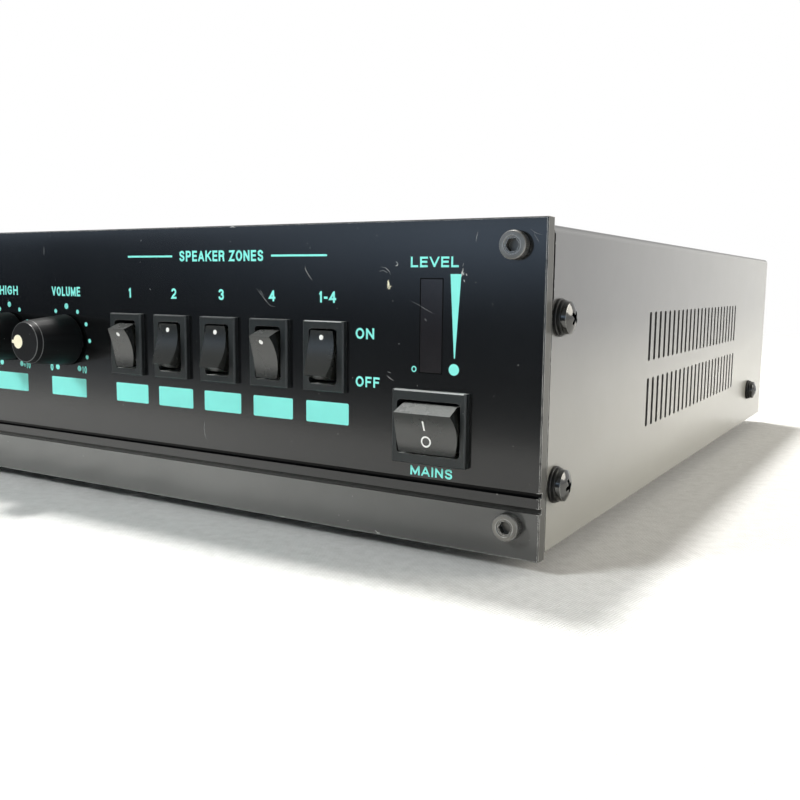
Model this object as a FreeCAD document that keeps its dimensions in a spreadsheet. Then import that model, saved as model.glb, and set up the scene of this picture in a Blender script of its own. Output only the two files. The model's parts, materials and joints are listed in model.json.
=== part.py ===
import FreeCAD, Part
import os
import re
import Sketcher
from FreeCAD import Placement, Rotation, Vector

# Rack-height mixer amplifier with a thick front panel, eight turning knobs and six rocker switches.
# X runs to the viewer's right, Y from the front panel to the rear, Z up.
# Most pieces are drawn from the panel's front face and bottom edge, and placed from there.

doc = FreeCAD.newDocument("MixerAmplifier")
sheet = doc.addObject("Spreadsheet::Sheet", "Sizes")

sizes = {
    # overall
    "panel_width": 420, "panel_height": 88, "panel_thick": 4, "panel_chamfer": 0.3,
    "case_depth": 322, "knob_reach": 17.45, "panel_lift": 3.5,
    # front panel grooves and cut-outs
    "groove_low": 12.7, "groove_high": 16.8, "groove_tall": 1.5, "groove_deep": 1.5,
    "bush_hole": 3.7, "screw_hole": 2.2, "panel_screw_x": 201.6, "panel_screw_low": 8.75,
    "panel_screw_high": 81,
    # sheet metal
    "steel": 1.2, "cover_gauge": 1, "cover_bend": 2, "cover_gap": 0.4, "case_bottom": 2,
    "case_top": 86.3, "wall_post": 26, "wall_curb": 24, "relief_low": 67, "relief_deep": 0.7,
    "relief_top": 2.2, "flange_deep": 14,
    # side vents
    "vent_wide": 2.5, "vent_tall": 16.6, "vent_step": 6.3, "vent_count": 24, "vent_first": 94.6,
    "vent_low": 23.4, "vent_high": 46, "slot_clip": 0.5,
    # corner brackets and top rail behind the panel
    "bracket_thick": 3, "bracket_front": 3.2, "bracket_long": 20, "bracket_wide": 10.2,
    "bracket_top": 84.1, "rail_deep": 18, "rail_low": 76,
    # screws that hold the panel
    "cap_radius": 3.7, "cap_tall": 2.9, "cap_socket": 3, "cap_socket_deep": 2.2, "thread_radius": 2,
    "panel_screw_long": 10, "cap_chamfer": 0.5,
    # screws and washers of the cover
    "pan_radius": 4.25, "pan_tall": 2.6, "pan_edge": 1.2, "pan_bend": 3.75, "pan_bend_level": 2.1,
    "pan_top": 2.4, "spring_radius": 4.55, "spring_split": 0.6, "spring_thick": 0.9,
    "washer_radius": 4.95, "washer_thick": 0.9, "washer_hole": 2.15, "cover_screw_long": 8,
    "side_screw_front": 9.5, "side_screw_high": 62.9, "side_screw_low": 19.1,
    "side_screw_rear": 283, "side_screw_rear_z": 18.3, "top_screw_x": 99, "top_screw_front": 11,
    "top_screw_rear": 314,
    # feet
    "foot_x": 175, "foot_front": 40, "foot_rear": 282, "foot_radius": 10, "foot_tip": 8.6,
    "foot_tall": 5.5, "foot_recess": 4.2, "foot_recess_deep": 3.2, "foot_screw_long": 8,
    # potentiometers, shafts and knobs
    "knob_first": -188.2, "knob_step": 31.4, "knob_level": 50.3, "can_radius": 8.5, "can_deep": 9,
    "bush_radius": 3.5, "bush_front": 3.5, "bush_blind": 6.5, "shaft_radius": 3, "shaft_gap": 0.05,
    "shaft_front": 14, "shaft_back": 5.8, "shaft_flat": 1.5, "shaft_flat_start": 6.6,
    "nut_flats": 10, "nut_thick": 2, "nut_hole": 3.56, "pin_wide": 1, "pin_step": 5,
    "knob_base": 8.85, "knob_rim": 7.3, "knob_face": 6.65, "knob_back": 0.6, "knob_shoulder": 15.6,
    "knob_wall": 1.1, "knob_hub": 6.5, "knob_edge": 0.35, "knob_play": 0.02,
    # small rocker switches
    "zone_first": 62.4, "zone_step": 20.15, "zone_level": 50.15, "zone_bezel_wide": 14.4,
    "zone_bezel_tall": 20.3, "zone_bezel_thick": 1.7, "zone_body_wide": 12.7,
    "zone_body_tall": 18.8, "zone_body_deep": 15, "zone_mouth_wide": 9.9, "zone_mouth_tall": 16,
    "zone_pivot": -0.4, "zone_rocker_wide": 9.1, "zone_rocker_end": 7.3, "zone_half": 6.5,
    "zone_fore": 4.5, "zone_face_radius": 22, "zone_waist": 6.95,
    # mains rocker switch
    "mains_x": 178.05, "mains_level": 32.5, "mains_bezel_wide": 22.7, "mains_bezel_tall": 20.1,
    "mains_bezel_thick": 2.1, "mains_body_wide": 21.4, "mains_body_tall": 18.4,
    "mains_body_deep": 20, "mains_mouth_wide": 19.5, "mains_mouth_tall": 14.9,
    "mains_pivot": -0.4, "mains_rocker_wide": 18.9, "mains_rocker_end": 16.6, "mains_half": 5.72,
    "mains_fore": 4.9, "mains_face_radius": 16, "mains_waist": 6.5,
    # both kinds of rocker
    "rocker_tilt": 15, "mouth_corner": 1.2, "mouth_deep": 9, "bezel_chamfer": 0.35,
    "rocker_skirt": 1.6, "rocker_neck": 3, "rocker_neck_half": 2.2, "rocker_foot": 5.5,
    "rocker_foot_half": 1.2, "trunnion_radius": 1, "trunnion_gap": 0.05, "trunnion_seat": 0.7,
    "trunnion_long": 0.8, "blade_wide": 4.8, "blade_thick": 0.8, "blade_long": 7,
    # level meter
    "meter_x": 177.5, "meter_level": 59.9, "meter_wide": 7, "meter_tall": 25.4,
    "meter_flange": 1.6, "meter_flange_thick": 1.5, "led_wide": 5, "led_tall": 24, "led_deep": 6,
    "led_count": 10, "meter_board_wide": 18, "meter_board_tall": 30, "board_thick": 1.6,
    # boards
    "control_left": -203, "control_right": 52, "control_front": 10, "control_deep": 68,
    "control_level": 34, "amp_left": 30, "amp_front": 95, "amp_wide": 133.5, "amp_deep": 150,
    "amp_level": 13.2, "standoff_radius": 3, "standoff_inset": 6,
    # heat sink and power parts
    "sink_x": 164, "sink_front": 92, "sink_long": 150, "sink_base": 6, "sink_fin": 32,
    "sink_fin_thick": 2, "sink_fin_step": 9.25, "sink_fin_count": 17, "sink_top": 76,
    "transistor_wide": 15.6, "transistor_tall": 20, "transistor_thick": 4.8,
    "transistor_first": 112, "transistor_step": 36, "transistor_low": 34, "transistor_hole": 1.6,
    "filter_radius": 15, "filter_tall": 46, "filter_first": 62, "filter_step": 42,
    "filter_y": 212, "filter_groove": 0.8, "bridge_x": -20, "bridge_y": 262,
    "bridge_side": 28, "bridge_tall": 11, "bridge_hole": 2.6, "bridge_tab": 6.3,
    # transformers: core width, height, stack, centre leg and window
    "mains_core_x": -140, "mains_core_y": 150, "mains_core_wide": 84, "mains_core_tall": 70,
    "mains_core_stack": 45, "mains_core_leg": 28,
    "output_core_x": -140, "output_core_y": 252, "output_core_wide": 66, "output_core_tall": 55,
    "output_core_stack": 35, "output_core_leg": 22, "winding_gap": 0.4,
    # rear panel fittings
    "inlet_x": -165, "inlet_level": 44, "inlet_wide": 27, "inlet_tall": 20, "inlet_flange": 2.4,
    "inlet_lip": 3, "inlet_mouth_wide": 24.2, "inlet_mouth_tall": 16.4, "inlet_mouth_deep": 15,
    "inlet_deep": 20, "inlet_corner": 4, "inlet_pin_wide": 2, "inlet_pin_tall": 4,
    "inlet_pin_long": 10, "inlet_pin_x": 7, "inlet_pin_low": -1.6, "inlet_pin_high": 2.6,
    "fuse_x": -122, "fuse_level": 44, "fuse_body": 6, "fuse_flange": 8, "fuse_flange_thick": 2,
    "fuse_deep": 26, "fuse_cap_radius": 6.2, "fuse_cap_tall": 8, "fuse_slot": 1.2,
    "strip_x": -32, "strip_level": 46, "strip_count": 8, "strip_step": 9.5, "strip_wall": 1.6,
    "strip_tall": 22, "strip_base": 4, "strip_reach": 12.5, "strip_screw_radius": 3,
    "strip_screw_tall": 1.8, "strip_clamp": 7, "strip_clamp_thick": 1,
    "jack_first": 72, "jack_step": 30, "jack_count": 3, "jack_level": 46, "jack_bore": 3.25,
    "jack_barrel": 4.6, "jack_barrel_front": 3.6, "jack_body_wide": 15, "jack_body_deep": 24,
    "jack_bore_deep": 22,
    "jack_nut_flats": 13, "jack_nut_thick": 2, "jack_hole": 4.7,
    "phono_first": 158, "phono_step": 22, "phono_level": 46, "phono_shell": 4.15,
    "phono_reach": 8.5, "phono_bore": 1.65, "phono_bore_deep": 9, "phono_insulator": 3.3,
    "phono_recess": 1.5, "phono_body": 5.4,
    "phono_deep": 9, "phono_hole": 4.3,
}
for row, (alias, number) in enumerate(sizes.items(), 1):
    sheet.set("A%d" % row, alias)
    sheet.set("B%d" % row, str(number))
    sheet.setAlias("B%d" % row, alias)
doc.recompute()

# Faces the viewer: a piece drawn with its front along +Z is turned to look along -Y.
facing_front = Rotation(Vector(1, 0, 0), 90)
facing_rear = Rotation(Vector(0, 0, 1), 180) * facing_front
facing_right = Rotation(Vector(0, 1, 0), 90)
facing_left = Rotation(Vector(0, 1, 0), -90)
facing_up = Rotation()
facing_down = Rotation(Vector(1, 0, 0), 180)

nodes = []


def bound(text):
    """The expression with each size's name led back to the sheet."""
    words = lambda found: "Sizes." + found.group() if found.group() in sizes else found.group()
    return re.sub(r"[a-z_]+", words, str(text))


def number(text):
    """The value of an expression of sizes, for pieces that are set in code."""
    found = sheet.evalExpression(re.sub(r"\s", "", str(text)))
    return float(getattr(found, "Value", found))


def new_body(label, keep=True):
    body = doc.addObject("PartDesign::Body", label)
    body.Label = label
    if keep:
        nodes.append(body)
    return body


def new_sketch(body, role, at="0"):
    """A sketch on one of the body's own origin planes, moved to a place along that plane's axis."""
    sketch = body.newObject("Sketcher::SketchObject", body.Name + "_sketch")
    support = [item for item in body.Origin.OriginFeatures if item.Role == role][0]
    sketch.AttachmentSupport = [(support, "")]
    sketch.MapMode = "FlatFace"
    side = "-(%s)" if role == "XZ_Plane" else "%s"
    sketch.setExpression("AttachmentOffset.Base.z", bound(side % at))
    return sketch


def tie(sketch, kind, first, second, text):
    """A dimension between two points of the sketch, bound to the sheet."""
    place = sketch.addConstraint(Sketcher.Constraint(kind, *first, *second, number(text)))
    sketch.setExpression("Constraints[%d]" % place, bound(text))


def outline(sketch, points, arcs=None):
    """A closed outline through points given as expressions.

    arcs maps a side to its radius and a point on its arc; without a radius it is a half circle.
    """
    first = len(sketch.Geometry)
    spots = [Vector(number(x), number(y), 0) for x, y in points]
    count = len(points)
    ends = []
    for side, spot in enumerate(spots):
        following = spots[(side + 1) % count]
        if arcs and side in arcs:
            radius, middle = arcs[side]
            middle = Vector(number(middle[0]), number(middle[1]), 0)
            forward = ((middle - spot).cross(following - middle)).z > 0
            start, stop = (spot, following) if forward else (following, spot)
            sketch.addGeometry(Part.Arc(start, middle, stop), False)
            ends.append((1, 2) if forward else (2, 1))
            if radius:
                dimension = Sketcher.Constraint("Radius", first + side, number(radius))
                sketch.setExpression("Constraints[%d]" % sketch.addConstraint(dimension), bound(radius))
            else:
                tie(sketch, "DistanceY", (-1, 1), (first + side, 3), points[side][1])
        else:
            sketch.addGeometry(Part.LineSegment(spot, following), False)
            ends.append((1, 2))
    for side in range(count):
        following = (side + 1) % count
        sketch.addConstraint(Sketcher.Constraint(
            "Coincident", first + side, ends[side][1], first + following, ends[following][0]))
    for side, (x, y) in enumerate(points):
        corner = (first + side, ends[side][0])
        tie(sketch, "DistanceX", (-1, 1), corner, x)
        tie(sketch, "DistanceY", (-1, 1), corner, y)


def rectangle(sketch, x, y, wide, tall):
    """A rectangle about its centre."""
    left, right = "%s-(%s)/2" % (x, wide), "%s+(%s)/2" % (x, wide)
    low, high = "%s-(%s)/2" % (y, tall), "%s+(%s)/2" % (y, tall)
    outline(sketch, [(left, low), (right, low), (right, high), (left, high)])


def circle(sketch, x, y, radius):
    spot = Vector(number(x), number(y), 0)
    item = sketch.addGeometry(Part.Circle(spot, Vector(0, 0, 1), number(radius)), False)
    tie(sketch, "DistanceX", (-1, 1), (item, 3), x)
    tie(sketch, "DistanceY", (-1, 1), (item, 3), y)
    place = sketch.addConstraint(Sketcher.Constraint("Radius", item, number(radius)))
    sketch.setExpression("Constraints[%d]" % place, bound(radius))


def hexagon(sketch, flats):
    """A hexagon about the origin, measured across its flats."""
    half, point = "%s/2" % flats, "%s*0.57735" % flats
    slope = "%s*0.288675" % flats
    outline(sketch, [(point, "0"), (slope, half), ("-" + slope, half), ("-" + point, "0"),
                     ("-" + slope, "-" + half), (slope, "-" + half)])


def upright_slot(sketch, x, low, wide, tall):
    """A slot with clipped corners, standing on its lower end."""
    left, right = "%s-(%s)/2" % (x, wide), "%s+(%s)/2" % (x, wide)
    top = "%s+(%s)" % (low, tall)
    outline(sketch, [
        (left + "+slot_clip", low), (right + "-slot_clip", low), (right, low + "+slot_clip"),
        (right, top + "-slot_clip"), (right + "-slot_clip", top), (left + "+slot_clip", top),
        (left, top + "-slot_clip"), (left, low + "+slot_clip")])


def extrude(body, kind, sketch, length):
    """A pad or pocket that runs from its sketch along the positive axis."""
    feature = body.newObject(kind, body.Name + "_" + kind.split("::")[1].lower())
    feature.Profile = sketch
    feature.setExpression("Length", bound(length))
    sideways = sketch.AttachmentSupport[0][0].Role == "XZ_Plane"
    feature.Reversed = sideways if kind.endswith("Pad") else not sideways
    sketch.Visibility = False
    return feature


def pad(body, sketch, length):
    return extrude(body, "PartDesign::Pad", sketch, length)


def pocket(body, sketch, length):
    """A pocket that has to take material away."""
    doc.recompute()
    before = body.Shape.Volume
    feature = extrude(body, "PartDesign::Pocket", sketch, length)
    doc.recompute()
    if body.Shape.Volume > before - 0.01:
        raise RuntimeError("a pocket of %s cuts nothing" % body.Label)
    return feature


def revolve(body, sketch):
    """Turns a half outline about the sketch's upright axis."""
    feature = body.newObject("PartDesign::Revolution", body.Name + "_turn")
    feature.Profile = sketch
    feature.ReferenceAxis = (sketch, ["V_Axis"])
    feature.Angle = 360
    return feature


def dress(body, kind, base, size, test):
    """A chamfer or fillet on the edges whose middle and length pass a test."""
    doc.recompute()
    names = []
    for place, edge in enumerate(base.Shape.Edges, 1):
        middle = edge.valueAt((edge.FirstParameter + edge.LastParameter) / 2)
        if test(middle, edge):
            names.append("Edge%d" % place)
    if not names:
        raise RuntimeError("no edge to dress on " + body.Label)
    feature = body.newObject("PartDesign::" + kind, body.Name + "_" + kind.lower())
    feature.Base = (base, names)
    feature.setExpression("Size" if kind == "Chamfer" else "Radius", bound(size))
    return feature


def repeat_along(body, features, sketch, axis, step, count):
    """A row of copies of the features along an axis of their sketch."""
    row = body.newObject("PartDesign::LinearPattern", body.Name + "_row")
    row.Originals = features
    row.Direction = (sketch, [axis])
    row.Mode = "Spacing"
    row.setExpression("Offset", bound(step))
    row.setExpression("Occurrences", bound(count))
    body.Tip = row
    return row


def place(item, x="0", y="0", z="0", turn=None):
    """Puts a piece at a place measured from the panel's front face and bottom edge."""
    item.Placement = Placement(Vector(0, 0, 0), turn or Rotation())
    item.setExpression("Placement.Base.x", bound(x))
    item.setExpression("Placement.Base.y", bound(
        "knob_reach-(knob_reach+case_depth+strip_reach)/2+(%s)" % y))
    item.setExpression("Placement.Base.z", bound("panel_lift+(%s)" % z))
    return item


def spot_of(x, y, z):
    """The same place as a vector, for pieces whose shape is set in code."""
    return Vector(number(x), number("knob_reach-(knob_reach+case_depth+strip_reach)/2+(%s)" % y),
                  number("panel_lift+(%s)" % z))


def group(label, pattern, spots):
    """Separate copies of one piece, each at its own spot and turn, under one name."""
    doc.recompute()
    copies = []
    for spot, turn in spots:
        copy = pattern.Shape.copy()
        copy.Placement = Placement(spot, turn)
        copies.append(copy)
    item = doc.addObject("Part::Feature", label)
    item.Shape = Part.makeCompound(copies)
    item.Label = label
    nodes.append(item)
    return item


def block(x, y, z, wide, deep, tall):
    """A box about its middle in X and Y, standing on z, measured as the drawn pieces are."""
    item = doc.addObject("Part::Box", "Block")
    item.setExpression("Length", bound(wide))
    item.setExpression("Width", bound(deep))
    item.setExpression("Height", bound(tall))
    return place(item, "%s-(%s)/2" % (x, wide), "%s-(%s)/2" % (y, deep), z)


def knob_x(place_in_row):
    return "knob_first+%d*knob_step" % place_in_row


def zone_x(place_in_row):
    return "zone_first+%d*zone_step" % place_in_row


def front_panel():
    body = new_body("front_panel")
    plate = new_sketch(body, "XZ_Plane")
    rectangle(plate, "0", "panel_height/2", "panel_width", "panel_height")
    slab = pad(body, plate, "panel_thick")
    dress(body, "Chamfer", slab, "panel_chamfer", lambda middle, edge: abs(middle.y) < 0.01)
    grooves = new_sketch(body, "YZ_Plane", "-panel_width/2")
    for low in ("groove_low", "groove_high"):
        rectangle(grooves, "0", "%s+groove_tall/2" % low, "groove_deep*2", "groove_tall")
    pocket(body, grooves, "panel_width")
    holes = new_sketch(body, "XZ_Plane")
    for turn in range(8):
        circle(holes, knob_x(turn), "knob_level", "bush_hole")
    for turn in range(5):
        rectangle(holes, zone_x(turn), "zone_level", "zone_body_wide+0.3", "zone_body_tall+0.3")
    rectangle(holes, "mains_x", "mains_level", "mains_body_wide+0.3", "mains_body_tall+0.3")
    rectangle(holes, "meter_x", "meter_level", "meter_wide+0.1", "meter_tall+0.1")
    for side in ("-", ""):
        for level in ("panel_screw_low", "panel_screw_high"):
            circle(holes, side + "panel_screw_x", level, "screw_hole")
    pocket(body, holes, "panel_thick")
    return place(body)


def chassis():
    """Tray with full side posts at both ends and a low curb between them."""
    body = new_body("chassis")
    section = new_sketch(body, "XZ_Plane", "panel_thick")
    half, inner = "panel_width/2-cover_gauge", "panel_width/2-cover_gauge-steel"
    top = "case_top-cover_gauge"
    outline(section, [
        ("-(%s)" % half, "case_bottom"), (half, "case_bottom"), (half, top), (inner, top),
        (inner, "case_bottom+steel"), ("-(%s)" % inner, "case_bottom+steel"),
        ("-(%s)" % inner, top), ("-(%s)" % half, top)])
    tray = pad(body, section, "case_depth-panel_thick")
    dress(body, "Fillet", tray, "cover_bend",
          lambda middle, edge: middle.z < number("case_bottom") + 0.01 and abs(middle.x) > 200
          and edge.Length > 100)
    windows = new_sketch(body, "YZ_Plane", "-panel_width/2")
    outline(windows, [
        ("wall_post", "wall_curb"), ("case_depth-flange_deep", "wall_curb"),
        ("case_depth-flange_deep", "case_top"), ("wall_post", "case_top")])
    pocket(body, windows, "panel_width")
    bores = new_sketch(body, "YZ_Plane", "-panel_width/2")
    circle(bores, "side_screw_front", "side_screw_low", "screw_hole")
    circle(bores, "side_screw_front", "side_screw_high", "screw_hole")
    circle(bores, "side_screw_rear", "side_screw_rear_z", "screw_hole")
    pocket(body, bores, "panel_width")
    floor = new_sketch(body, "XY_Plane", "case_bottom")
    for side in ("-", ""):
        for line in ("foot_front", "foot_rear"):
            circle(floor, side + "foot_x", line, "thread_radius+0.05")
    pocket(body, floor, "steel")
    return place(body)


def top_cover():
    """Sheet bent over the case, its two sides cut with upright vent slots."""
    body = new_body("top_cover")
    section = new_sketch(body, "XZ_Plane", "panel_thick+cover_gap")
    half, inner = "panel_width/2", "panel_width/2-cover_gauge"
    outline(section, [
        ("-" + half, "case_bottom"), ("-(%s)" % inner, "case_bottom"),
        ("-(%s)" % inner, "case_top-cover_gauge"), (inner, "case_top-cover_gauge"),
        (inner, "case_bottom"), (half, "case_bottom"), (half, "case_top"), ("-" + half, "case_top")])
    wrap = pad(body, section, "case_depth-panel_thick-cover_gap")
    dress(body, "Fillet", wrap, "cover_bend",
          lambda middle, edge: middle.z > number("case_top") - 0.01 and edge.Length > 300
          and abs(middle.x) > number(half) - 0.01)
    vents = new_sketch(body, "YZ_Plane", "-panel_width/2")
    for low in ("vent_low", "vent_high"):
        upright_slot(vents, "vent_first", low, "vent_wide", "vent_tall")
    first = pocket(body, vents, "panel_width")
    repeat_along(body, [first], vents, "H_Axis", "vent_step", "vent_count")
    relief = new_sketch(body, "YZ_Plane", "-panel_width/2")
    front = "panel_thick+cover_gap"
    outline(relief, [
        (front, "relief_low"), (front + "+relief_deep", "relief_low+relief_deep"),
        (front + "+relief_deep", "case_top-relief_top"), (front, "case_top-relief_top")])
    pocket(body, relief, "panel_width")
    bores = new_sketch(body, "YZ_Plane", "-panel_width/2")
    circle(bores, "side_screw_front", "side_screw_low", "screw_hole")
    circle(bores, "side_screw_front", "side_screw_high", "screw_hole")
    circle(bores, "side_screw_rear", "side_screw_rear_z", "screw_hole")
    pocket(body, bores, "panel_width")
    roof = new_sketch(body, "XY_Plane", "case_top-cover_gauge")
    for side in ("-", ""):
        for line in ("top_screw_front", "top_screw_rear"):
            circle(roof, side + "top_screw_x", line, "screw_hole")
    pocket(body, roof, "cover_gauge")
    return place(body)


def rear_panel():
    """Upright sheet with a flange along its foot and its head, cut for the connectors."""
    body = new_body("rear_panel")
    section = new_sketch(body, "YZ_Plane", "-(panel_width/2-cover_gauge-steel)")
    back, face = "case_depth", "case_depth-steel"
    front = "case_depth-flange_deep"
    low, high = "case_bottom+steel", "case_top-cover_gauge"
    outline(section, [
        (front, low), (back, low), (back, high), (front, high), (front, high + "-steel"),
        (face, high + "-steel"), (face, low + "+steel"), (front, low + "+steel")])
    pad(body, section, "panel_width-2*cover_gauge-2*steel")
    holes = new_sketch(body, "XZ_Plane", face)
    rectangle(holes, "inlet_x", "inlet_level", "inlet_wide+0.4", "inlet_tall+0.4")
    circle(holes, "fuse_x", "fuse_level", "fuse_body+0.15")
    for turn in range(3):
        circle(holes, "jack_first+%d*jack_step" % turn, "jack_level", "jack_hole")
    for turn in range(2):
        circle(holes, "phono_first+%d*phono_step" % turn, "phono_level", "phono_hole")
    rectangle(holes, "strip_x", "strip_level", "strip_count*strip_step-3", "6")
    pocket(body, holes, "steel")
    roof = new_sketch(body, "XY_Plane", high + "-steel")
    for side in ("-", ""):
        circle(roof, side + "top_screw_x", "top_screw_rear", "thread_radius+0.1")
    pocket(body, roof, "steel")
    return place(body)


def corner_brackets():
    """Two angles that tie the panel to the tray, tapped for the panel's and the cover's screws."""
    body = new_body("bracket_pattern", keep=False)
    wall = "panel_width/2-cover_gauge-steel"
    section = new_sketch(body, "XY_Plane", "case_bottom+steel")
    front, elbow = "panel_thick", "panel_thick+bracket_front"
    outline(section, [
        (wall + "-bracket_wide", front), (wall, front), (wall, front + "+bracket_long"),
        (wall + "-bracket_thick", front + "+bracket_long"), (wall + "-bracket_thick", elbow),
        (wall + "-bracket_wide", elbow)])
    pad(body, section, "bracket_top-case_bottom-steel")
    taps = new_sketch(body, "XZ_Plane", front)
    circle(taps, "panel_screw_x", "panel_screw_low", "thread_radius+0.05")
    circle(taps, "panel_screw_x", "panel_screw_high", "thread_radius+0.05")
    pocket(body, taps, "bracket_front")
    side_taps = new_sketch(body, "YZ_Plane", wall + "-bracket_thick")
    circle(side_taps, "side_screw_front", "side_screw_low", "thread_radius+0.05")
    circle(side_taps, "side_screw_front", "side_screw_high", "thread_radius+0.05")
    pocket(body, side_taps, "bracket_thick")
    doc.recompute()
    right = body.Shape.copy()
    left = right.mirror(Vector(0, 0, 0), Vector(1, 0, 0))
    item = doc.addObject("Part::Feature", "corner_brackets")
    item.Shape = Part.makeCompound([left, right])
    item.Label = "corner_brackets"
    nodes.append(item)
    return place(item)


def front_rail():
    """Angle along the panel's head, on both brackets, that takes the cover's front screws."""
    body = new_body("front_rail")
    long = "2*(panel_width/2-cover_gauge-steel)"
    section = new_sketch(body, "YZ_Plane", "-(%s)/2" % long)
    front, high = "panel_thick", "case_top-cover_gauge"
    outline(section, [
        (front, "rail_low"), (front + "+steel", "rail_low"), (front + "+steel", high + "-steel"),
        (front + "+rail_deep", high + "-steel"), (front + "+rail_deep", high), (front, high)])
    pad(body, section, long)
    ends = new_sketch(body, "XZ_Plane", front)
    for side in ("-", ""):
        rectangle(ends, "%s((%s)/2-bracket_wide/2)" % (side, long), "rail_low+(%s-steel-rail_low)/2" % high,
                  "bracket_wide+0.2", "%s-steel-rail_low" % high)
    pocket(body, ends, "steel")
    taps = new_sketch(body, "XY_Plane", high + "-steel")
    for side in ("-", ""):
        circle(taps, side + "top_screw_x", "top_screw_front", "thread_radius+0.1")
    pocket(body, taps, "steel")
    return place(body)


def panel_screws():
    """Four socket head cap screws."""
    body = new_body("cap_screw", keep=False)
    half = new_sketch(body, "XZ_Plane")
    outline(half, [
        ("0", "-panel_screw_long"), ("thread_radius", "-panel_screw_long"),
        ("thread_radius", "0"), ("cap_radius", "0"), ("cap_radius", "cap_tall-cap_chamfer"),
        ("cap_radius-cap_chamfer", "cap_tall"), ("0", "cap_tall")])
    revolve(body, half)
    socket = new_sketch(body, "XY_Plane", "cap_tall-cap_socket_deep")
    hexagon(socket, "cap_socket")
    pocket(body, socket, "cap_socket_deep")
    spots = [(spot_of(side + "panel_screw_x", "0", level), facing_front)
             for side in ("-", "") for level in ("panel_screw_low", "panel_screw_high")]
    group("panel_screws", body, spots)


def cover_fasteners():
    """The cover's pan head screws. Those in its sides have a spring washer and a flat washer."""
    seats = []
    wall = "panel_width/2"
    for side, turn in (("-", facing_left), ("", facing_right)):
        for y, z in (("side_screw_front", "side_screw_high"), ("side_screw_front", "side_screw_low"),
                     ("side_screw_rear", "side_screw_rear_z")):
            seats.append((spot_of(side + wall, y, z), turn))
    under = "washer_thick+spring_thick"
    roof = [(spot_of(side + "top_screw_x", y, "case_top-(%s)" % under), facing_up)
            for side in ("-", "") for y in ("top_screw_front", "top_screw_rear")]
    screw = new_body("pan_screw", keep=False)
    half = new_sketch(screw, "XZ_Plane")
    outline(half, [
        ("0", under + "-cover_screw_long"), ("thread_radius", under + "-cover_screw_long"),
        ("thread_radius", under), ("pan_radius", under), ("pan_radius", under + "+pan_edge"),
        ("pan_bend", under + "+pan_bend_level"), ("pan_top", under + "+pan_tall"),
        ("0", under + "+pan_tall")])
    revolve(screw, half)
    group("cover_screws", screw, seats + roof)
    for label, radius, low, thick in (
            ("spring_washers", "spring_radius", "washer_thick", "spring_thick"),
            ("flat_washers", "washer_radius", "0", "washer_thick")):
        ring = new_body(label + "_pattern", keep=False)
        face = new_sketch(ring, "XY_Plane", low)
        circle(face, "0", "0", radius)
        circle(face, "0", "0", "washer_hole")
        pad(ring, face, thick)
        if label == "spring_washers":
            split = new_sketch(ring, "XY_Plane", low)
            rectangle(split, radius, "0", "2*(%s-washer_hole)+1" % radius, "spring_split")
            pocket(ring, split, thick)
        group(label, ring, seats)


def feet():
    """Four rubber feet, each with a sunk screw."""
    foot = new_body("foot_pattern", keep=False)
    half = new_sketch(foot, "XZ_Plane")
    outline(half, [
        ("screw_hole", "0"), ("foot_radius", "0"), ("foot_tip", "foot_tall"),
        ("foot_recess", "foot_tall"), ("foot_recess", "foot_tall-foot_recess_deep"),
        ("screw_hole", "foot_tall-foot_recess_deep")])
    revolve(foot, half)
    screw = new_body("foot_screw_pattern", keep=False)
    seat = "foot_tall-foot_recess_deep"
    half = new_sketch(screw, "XZ_Plane")
    outline(half, [
        ("0", seat + "-foot_screw_long"), ("thread_radius", seat + "-foot_screw_long"),
        ("thread_radius", seat), ("foot_recess-0.4", seat), ("foot_recess-1", seat + "+2"),
        ("0", seat + "+2")])
    revolve(screw, half)
    seats = [(spot_of(side + "foot_x", line, "case_bottom"), facing_down)
             for side in ("-", "") for line in ("foot_front", "foot_rear")]
    group("feet", foot, seats)
    group("foot_screws", screw, seats)


def potentiometers():
    """Cans on the back of the panel, their bushes through it, held by a nut under each knob."""
    can = new_body("potentiometer_pattern", keep=False)
    half = new_sketch(can, "XZ_Plane")
    bore = "shaft_radius+shaft_gap"
    back = "-(panel_thick+can_deep)"
    outline(half, [
        ("0", back), ("can_radius", back), ("can_radius", "-panel_thick"),
        ("bush_radius", "-panel_thick"), ("bush_radius", "bush_front"), (bore, "bush_front"),
        (bore, "-bush_blind"), ("0", "-bush_blind")])
    revolve(can, half)
    pins = new_sketch(can, "XY_Plane", "-(panel_thick+can_deep-2)")
    drop = "knob_level-control_level-board_thick"
    for turn in (-1, 0, 1):
        rectangle(pins, "%d*pin_step" % turn, "-(%s+can_radius-2.5)/2" % drop, "pin_wide",
                  "%s-can_radius+2.5" % drop)
    pad(can, pins, "0.6")
    nut = new_body("potentiometer_nut_pattern", keep=False)
    face = new_sketch(nut, "XY_Plane")
    hexagon(face, "nut_flats")
    circle(face, "0", "0", "nut_hole")
    pad(nut, face, "nut_thick")
    seats = [(spot_of(knob_x(turn), "0", "knob_level"), facing_front) for turn in range(8)]
    group("potentiometers", can, seats)
    group("potentiometer_nuts", nut, seats)


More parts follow.
